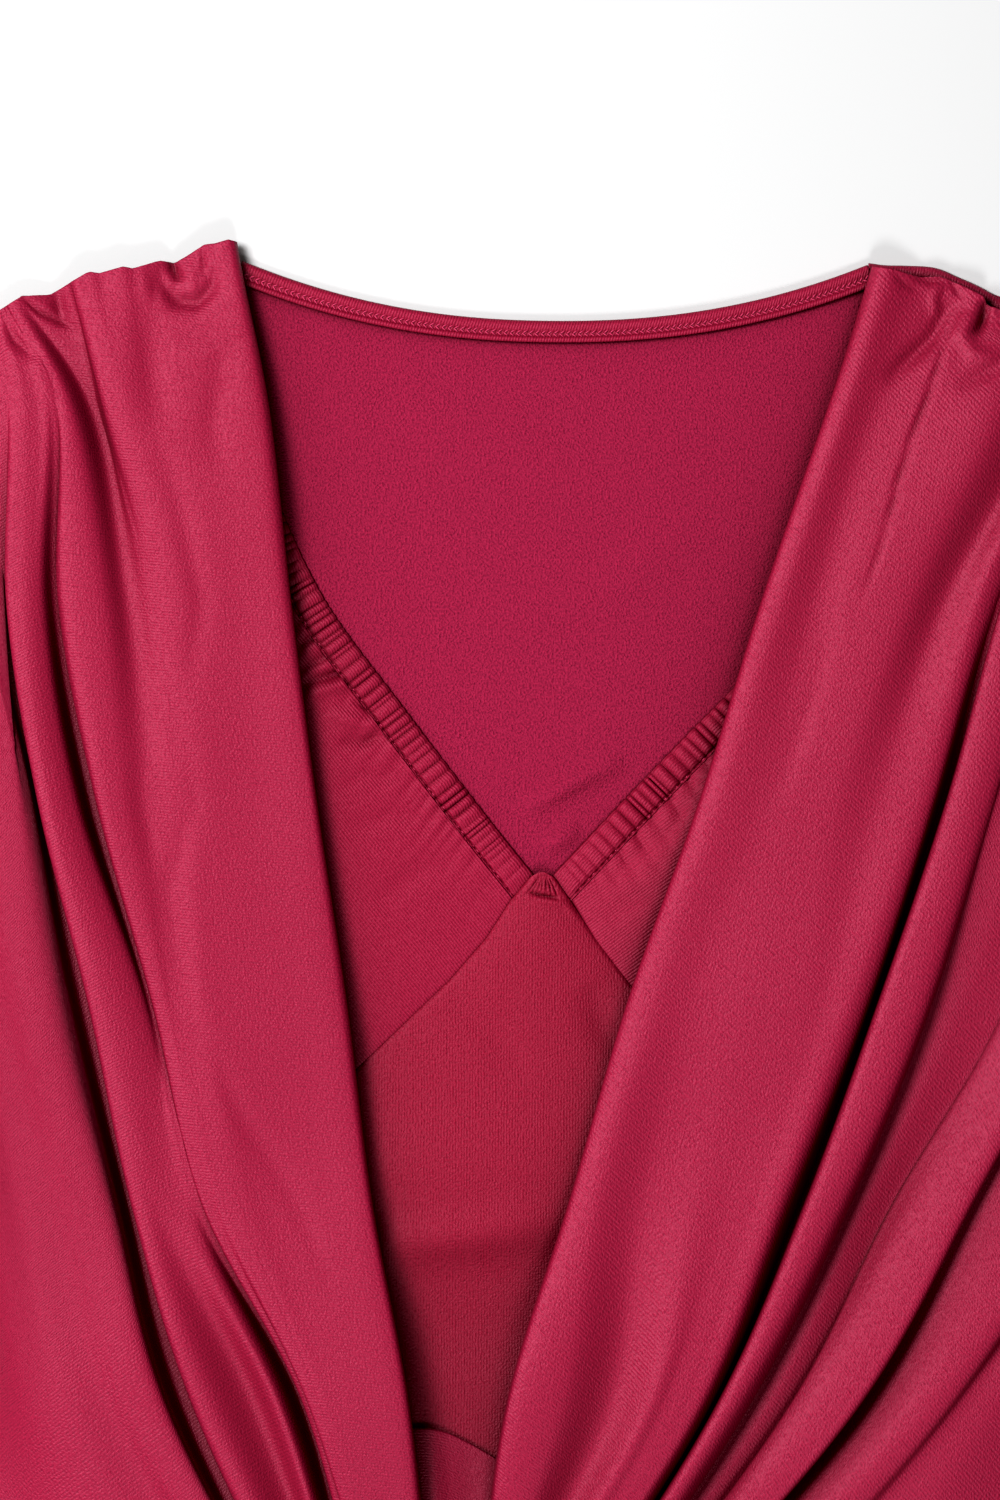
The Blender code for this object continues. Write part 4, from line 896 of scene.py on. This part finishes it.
# %% Twist
def strap_grid(start_arc, end_arc, pleats, rows, rise, pinch, depth, z_end, per_span):
    """One half of the twist: a pleated strap across the oval, drawn together in the middle. It
    rises in an arch, and each second line stands up as a pleat."""
    t = np.linspace(0, 1, rows)
    arch = np.sin(math.pi * t)
    count = 2 * pleats + 1
    lines = []
    for i in range(count):
        share = i / (count - 1)
        a = knot_point(start_arc[0] + (start_arc[1] - start_arc[0]) * share, -0.9)
        b = knot_point(end_arc[0] + (end_arc[1] - end_arc[0]) * share, -0.9)
        xy = a + (b - a) * t[:, None]
        xy = xy + (np.array(KNOT) - xy) * (pinch * arch**1.5)[:, None]
        crown = rise * (1 - abs(2 * share - 1) ** 2.5) * arch**0.5
        lines.append(np.column_stack([xy, z_end + crown + depth * (i % 2) * (0.3 + 0.7 * arch)]))
    return across(lines, per_span)


TWIST_ROWS, TWIST_SPAN = ((70, 8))
twist_under = cloth("twist_lower_half", "twist_under", strap_grid(
    KNOT_ARC["left"], SKIRT_ARC["right"], 4, TWIST_ROWS, 2.0, 0.2, 1.6, 8.0, TWIST_SPAN), SATIN)
twist_over = cloth("twist_upper_half", "twist_over", strap_grid(
    KNOT_ARC["right"], SKIRT_ARC["left"], 5, TWIST_ROWS, 13.0, 0.42, 4.0, 13.5, TWIST_SPAN), SATIN)

# %% Skirt
# One row for each line, from the left side to the right. top: as the drapes' end, left negative;
# hem: x at the hem; then three heights.
SKIRT = [
    ("side",     -2.00, -224.0,   2.4,  2.4,  2.4),
    ("flat a",   -1.62, -204.0,   5.6,  5.4,  4.4),
    ("valley a", -1.30, -180.0,   4.2,  3.8,  3.6),
    ("ridge a",  -1.06, -158.0,   8.6,  8.0,  5.0),
    ("valley b", -0.97, -139.0,   5.0,  4.4,  3.6),
    ("ridge b",  -0.82, -118.0,  11.0,  9.4,  5.6),
    ("valley c", -0.70,  -99.0,   5.4,  4.4,  3.6),
    ("ridge c",  -0.55,  -82.0,  12.0, 10.2,  5.8),
    ("valley d", -0.40,  -66.0,   5.6,  4.6,  3.6),
    ("ridge d",  -0.22,  -50.0,  12.0, 10.6,  5.8),
    ("valley e", -0.04,  -32.0,   6.0,  5.0,  3.8),
    ("ridge e",   0.12,  -14.0,  11.0,  9.6,  5.4),
    ("valley f",  0.26,    6.0,   5.8,  4.6,  3.6),
    ("ridge f",   0.42,   28.0,  12.0, 10.4,  5.8),
    ("valley g",  0.56,   50.0,   5.4,  4.4,  3.6),
    ("ridge g",   0.72,   74.0,  12.0,  9.8,  5.6),
    ("valley h",  0.86,   98.0,   5.2,  4.2,  3.6),
    ("ridge h",   1.00,  124.0,   9.6,  8.2,  5.2),
    ("valley i",  1.18,  148.0,   4.4,  4.0,  3.6),
    ("ridge i",   1.40,  174.0,   6.6,  6.4,  4.8),
    ("flat j",    1.70,  200.0,   4.6,  4.4,  4.0),
    ("side",      2.00,  224.0,   2.4,  2.4,  2.4),
]


def skirt_top(top):
    """A point of the skirt's upper edge, a seam's width below the drapes."""
    side = "left" if top < 0 else "right"
    first, last = SKIRT_ARC[side]
    drop = np.array([0.0, -0.6])
    if abs(top) <= 1:
        return knot_point(last + (first - last) * abs(top))
    return mix(knot_point(first) + drop, np.array(HIP_SEAM[side]) + drop, abs(top) - 1)


def skirt_grid(rows, per_span):
    """The skirt's front, fanning out from the twist to the hem."""
    lines = []
    for _, top, hem, z_top, z_middle, z_hem in SKIRT:
        x, y = skirt_top(top)
        middle = mix((x, y), (hem, HEM_Y), 0.45)
        if abs(top) == 2.0:
            middle = np.array([math.copysign(HIP_HALF, top), HIP_Y])
        lines.append(along([(x, y, z_top), (*middle, z_middle), (hem, HEM_Y, z_hem)], rows))
    return across(lines, per_span)


SKIRT_SIZE = ((90, 8))
skirt = cloth("skirt_cloth", "skirt_front", skirt_grid(*SKIRT_SIZE), SATIN)

# %% [markdown]
# ## The sleeves
# A long sleeve laid flat is a tube pressed nearly shut. Each of its rows goes out over the top and
# back under it, so one grid, closed round, makes both layers and leaves both ends open.

# %% Sleeves
WRIST = {"left": (-489.0, -108.0), "right": (489.0, -122.0)}
WRIST_HALF, SLEEVE_BOW = 56.0, 16.0


def sleeve_grid(side, rows, top_columns, low_columns):
    """A long sleeve laid flat: an open tube between the armhole and the wrist."""
    sign = -1 if side == "left" else 1
    wrist, tip, under = (np.array(p[side], float) for p in (WRIST, SHOULDER_TIP, UNDERARM))
    axis = wrist - (tip + under) / 2
    axis /= np.linalg.norm(axis)
    normal = np.array([-axis[1], axis[0]]) * sign
    s = np.linspace(0, 1, rows)[:, None]
    bow = np.sin(math.pi * s) * SLEEVE_BOW
    top_edge = tip * (1 - s) + (wrist + normal * WRIST_HALF) * s + normal * bow
    low_edge = under * (1 - s) + (wrist - normal * WRIST_HALF) * s + normal * bow * 0.5
    w = np.concatenate([np.linspace(0, 1, top_columns), np.linspace(1, 0, low_columns)])
    above = np.arange(len(w)) < top_columns
    share = (0.012 + 0.976 * w)[:, None, None]
    lift = (on_path(armhole(side), share[:, 0, 0]) - mix(tip, under, share[:, 0]))[:, None]
    xy = top_edge * (1 - share) + low_edge * share + lift * (1 - s) + (sign * 1.2, 0.0)
    swell = np.where(above & (w > 0) & (w < 1), 0.3 + 1.8 * np.sin(math.pi * w) ** 0.5
                     + 1.2 * np.sin(3 * math.pi * w) ** 2, 0.0)
    fold = swell[:, None] * (0.55 + 0.45 * np.cos(math.pi * s[:, 0]) ** 2)
    z = np.where(above[:, None], 2.6 + fold, 0.5)
    return np.concatenate([xy, z[..., None]], axis=-1)


SLEEVE_SIZE = ((110, 50, 20))
sleeves = {side: cloth(f"{side}_sleeve", f"sleeve_{side}", sleeve_grid(side, *SLEEVE_SIZE),
                       SATIN, ring=True) for side in ("left", "right")}

# %% [markdown]
# ## Sewing
# Stitches are short rounded threads. Copies of an object or a bevelled curve would do, but one mesh
# for all those of a seam is lighter: a six-sided grain of thread is worked out once and set down at
# each place, turned along the seam.

# %% Stitches
def stitches(name, centres, directions, length, radius):
    """Grains of thread at the given points. A grain is five rings of six points round its
    direction, thin at both ends."""
    rings = np.array([(-0.5, 0.3), (-0.38, 0.85), (0.0, 1.0), (0.38, 0.85), (0.5, 0.3)])
    turn = np.arange(6) * math.pi / 3
    forward = directions / np.linalg.norm(directions, axis=1)[:, None]
    up = np.array([0.0, 0.0, 1.0])
    side = np.cross(forward, up)
    side /= np.linalg.norm(side, axis=1)[:, None]
    lift = np.cross(side, forward)
    round_ = side[:, None, None] * np.cos(turn)[:, None] + lift[:, None, None] * np.sin(turn)[:, None]
    points = (centres[:, None, None] + forward[:, None, None] * (rings[:, 0] * length)[:, None, None]
              + round_ * (rings[:, 1] * radius)[:, None, None])
    count = len(rings) * 6
    i, j = np.meshgrid(np.arange(len(rings) - 1), np.arange(6), indexing="ij")
    quad = np.stack([i * 6 + j, i * 6 + (j + 1) % 6, (i + 1) * 6 + (j + 1) % 6, (i + 1) * 6 + j], axis=-1)
    faces = (quad.reshape(1, -1, 4) + np.arange(len(centres))[:, None, None] * count).reshape(-1, 4)
    ends = np.array([[5, 4, 3, 2, 1, 0], [count - 6 + k for k in range(6)]])
    caps = (ends[None] + np.arange(len(centres))[:, None, None] * count).reshape(-1, 6)
    mesh = bpy.data.meshes.new(name)
    mesh.from_pydata((points.reshape(-1, 3) * MM).tolist(), [], faces.tolist() + caps.tolist())
    mesh.shade_smooth()
    mesh.materials.append(THREAD)
    piece = bpy.data.objects.new(name, mesh)
    bpy.context.scene.collection.objects.link(piece)
    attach(piece, "root")
    print(f"{name}: {len(centres)} stitches")
    return piece


def row_of(path, pitch):
    """Points one pitch apart on a path, and their directions."""
    run = arc(path[None], 1)[0]
    at = np.arange(pitch / 2, run[-1], pitch)
    points = np.column_stack([np.interp(at, run, path[:, i]) for i in range(3)])
    ahead = np.column_stack([np.interp(at + 0.4, run, path[:, i]) for i in range(3)])
    behind = np.column_stack([np.interp(at - 0.4, run, path[:, i]) for i in range(3)])
    return points, ahead - behind


# %% Sewn rows
NECK_PITCH, NECK_RISE = 2.3, 0.6     # how far apart the stitches lie, and above the cloth's middle
band = binding_grid(600)
binding_shares = [share for share, _ in BINDING_PROFILE]
places, ways = [], []
for share, lean in ((0.5, -0.75), (0.66, 0.75)):
    middle = band[binding_shares.index(share) * BINDING_SPAN] + (0.0, 0.0, NECK_RISE)
    at, way = row_of(middle, NECK_PITCH)
    across_way = np.column_stack([way[:, 1], -way[:, 0], np.zeros(len(way))])
    places.append(at)
    ways.append(way + lean * across_way)
# Two loose thread ends hang from the seam at the right.
places.append(np.array([(118.6, 411.2, 3.6), (118.0, 408.4, 3.4), (117.8, 405.6, 3.2),
                        (120.8, 411.8, 4.0), (123.2, 411.0, 4.4)]))
ways.append(np.array([(0.3, 1.0, 0.0), (0.15, 1.0, 0.0), (0.0, 1.0, 0.0),
                      (1.0, 0.1, 0.0), (1.0, -0.5, 0.0)]))
neck_stitches = stitches("neck_stitches", np.vstack(places), np.vstack(ways), 1.9, 0.3)

CASING_RISE = 0.5
SEWN = slice(8, 470)       # the rows of the casing that show
stitch_line = [share for share, _, _ in CASING_PROFILE].index(STITCH_SHARE) * CASING_SPAN
for side in ("left", "right"):
    line = elastic_grid(side, FINE_ROWS)[stitch_line] + (0.0, 0.0, CASING_RISE)
    places, ways = row_of(line[SEWN], DENT)
    stitches(f"{side}_casing_stitches", places, ways, 1.3, 0.22)

# %% [markdown]
# ## Sheets
# Cloth lies on cloth here.

# %% Sheets
print("sheets: none listed")

# %% [markdown]
# ## Table, light and camera
# The dress lies on a plain white table, seen from straight above through a long lens, which keeps
# its lines straight. One large soft light stands to the upper left, so the folds' left edges are
# bright and their right sides fall into shade. A weak one beyond the hem fills the hollows, and the
# room adds a little light from everywhere. A studio picture has more contrast than light alone gives,
# so the view's gamma is below 1, and its black level is above 0.

# %% Stage
def area_light(name, size, watts, place, target):
    """A square soft light at a place, turned to a target. Metres and watts."""
    data = bpy.data.lights.new(name, "AREA")
    data.size = size
    data.energy = watts
    light = bpy.data.objects.new(name, data)
    bpy.context.scene.collection.objects.link(light)
    light.location = place
    away = np.array(place, float) - np.array(target, float)
    light.rotation_euler = (math.acos(away[2] / np.linalg.norm(away)), 0.0,
                            math.atan2(away[1], away[0]) + math.pi / 2)


TARGET = (-0.0185, 0.2425, 0.0)      # the middle of the picture, in metres
TABLE_Z = -0.0003
mesh = bpy.data.meshes.new("table")
mesh.from_pydata([(x, y, TABLE_Z) for x, y in ((-3, -3), (3, -3), (3, 3), (-3, 3))], [], [(0, 1, 2, 3)])
TABLE, _, _ = principled("white table", {"Base Color": to_linear("#E5E5E5"), "Roughness": 0.9,
                                         "Specular IOR Level": 0.0})
mesh.materials.append(TABLE)
floor = bpy.data.objects.new("table", mesh)
bpy.context.scene.collection.objects.link(floor)
area_light("window", 0.9, 59.0, (-1.1, 0.78, 1.85), TARGET)
area_light("fill light", 0.5, 12.0, (0.05, -1.1, 1.4), TARGET)
world = bpy.data.worlds.new("room")
bpy.context.scene.world = world
world.use_nodes = True
background = world.node_tree.nodes["Background"]
background.inputs["Color"].default_value = to_linear("#F2F2F4")
background.inputs["Strength"].default_value = 0.14

# %% View
view = bpy.context.scene.view_settings
view.view_transform = "Standard"
view.gamma = 0.72                    # deep satin shadows, as in a studio picture
view.use_curve_mapping = True
view.curve_mapping.black_level = (0.006, 0.008, 0.011)    # shade goes to pure red, then black
view.curve_mapping.update()
print("gamma:", round(view.gamma, 2))

# %% [markdown]
# ## Camera
# A picture of flat clothes is taken from straight above. A long lens from far away shows no sides of
# the folds, as in the picture that this one follows.

# %% Camera
LENS, SENSOR = 200.0, 36.0
VIEW_HEIGHT = 0.555        # metres of the table that the picture is tall
data = bpy.data.cameras.new("camera")
data.lens = LENS
data.sensor_width = SENSOR
camera = bpy.data.objects.new("camera", data)
bpy.context.scene.collection.objects.link(camera)
camera.location = (TARGET[0], TARGET[1], VIEW_HEIGHT * LENS / SENSOR)
bpy.context.scene.camera = camera
print("camera height in m:", round(camera.location[2], 3))
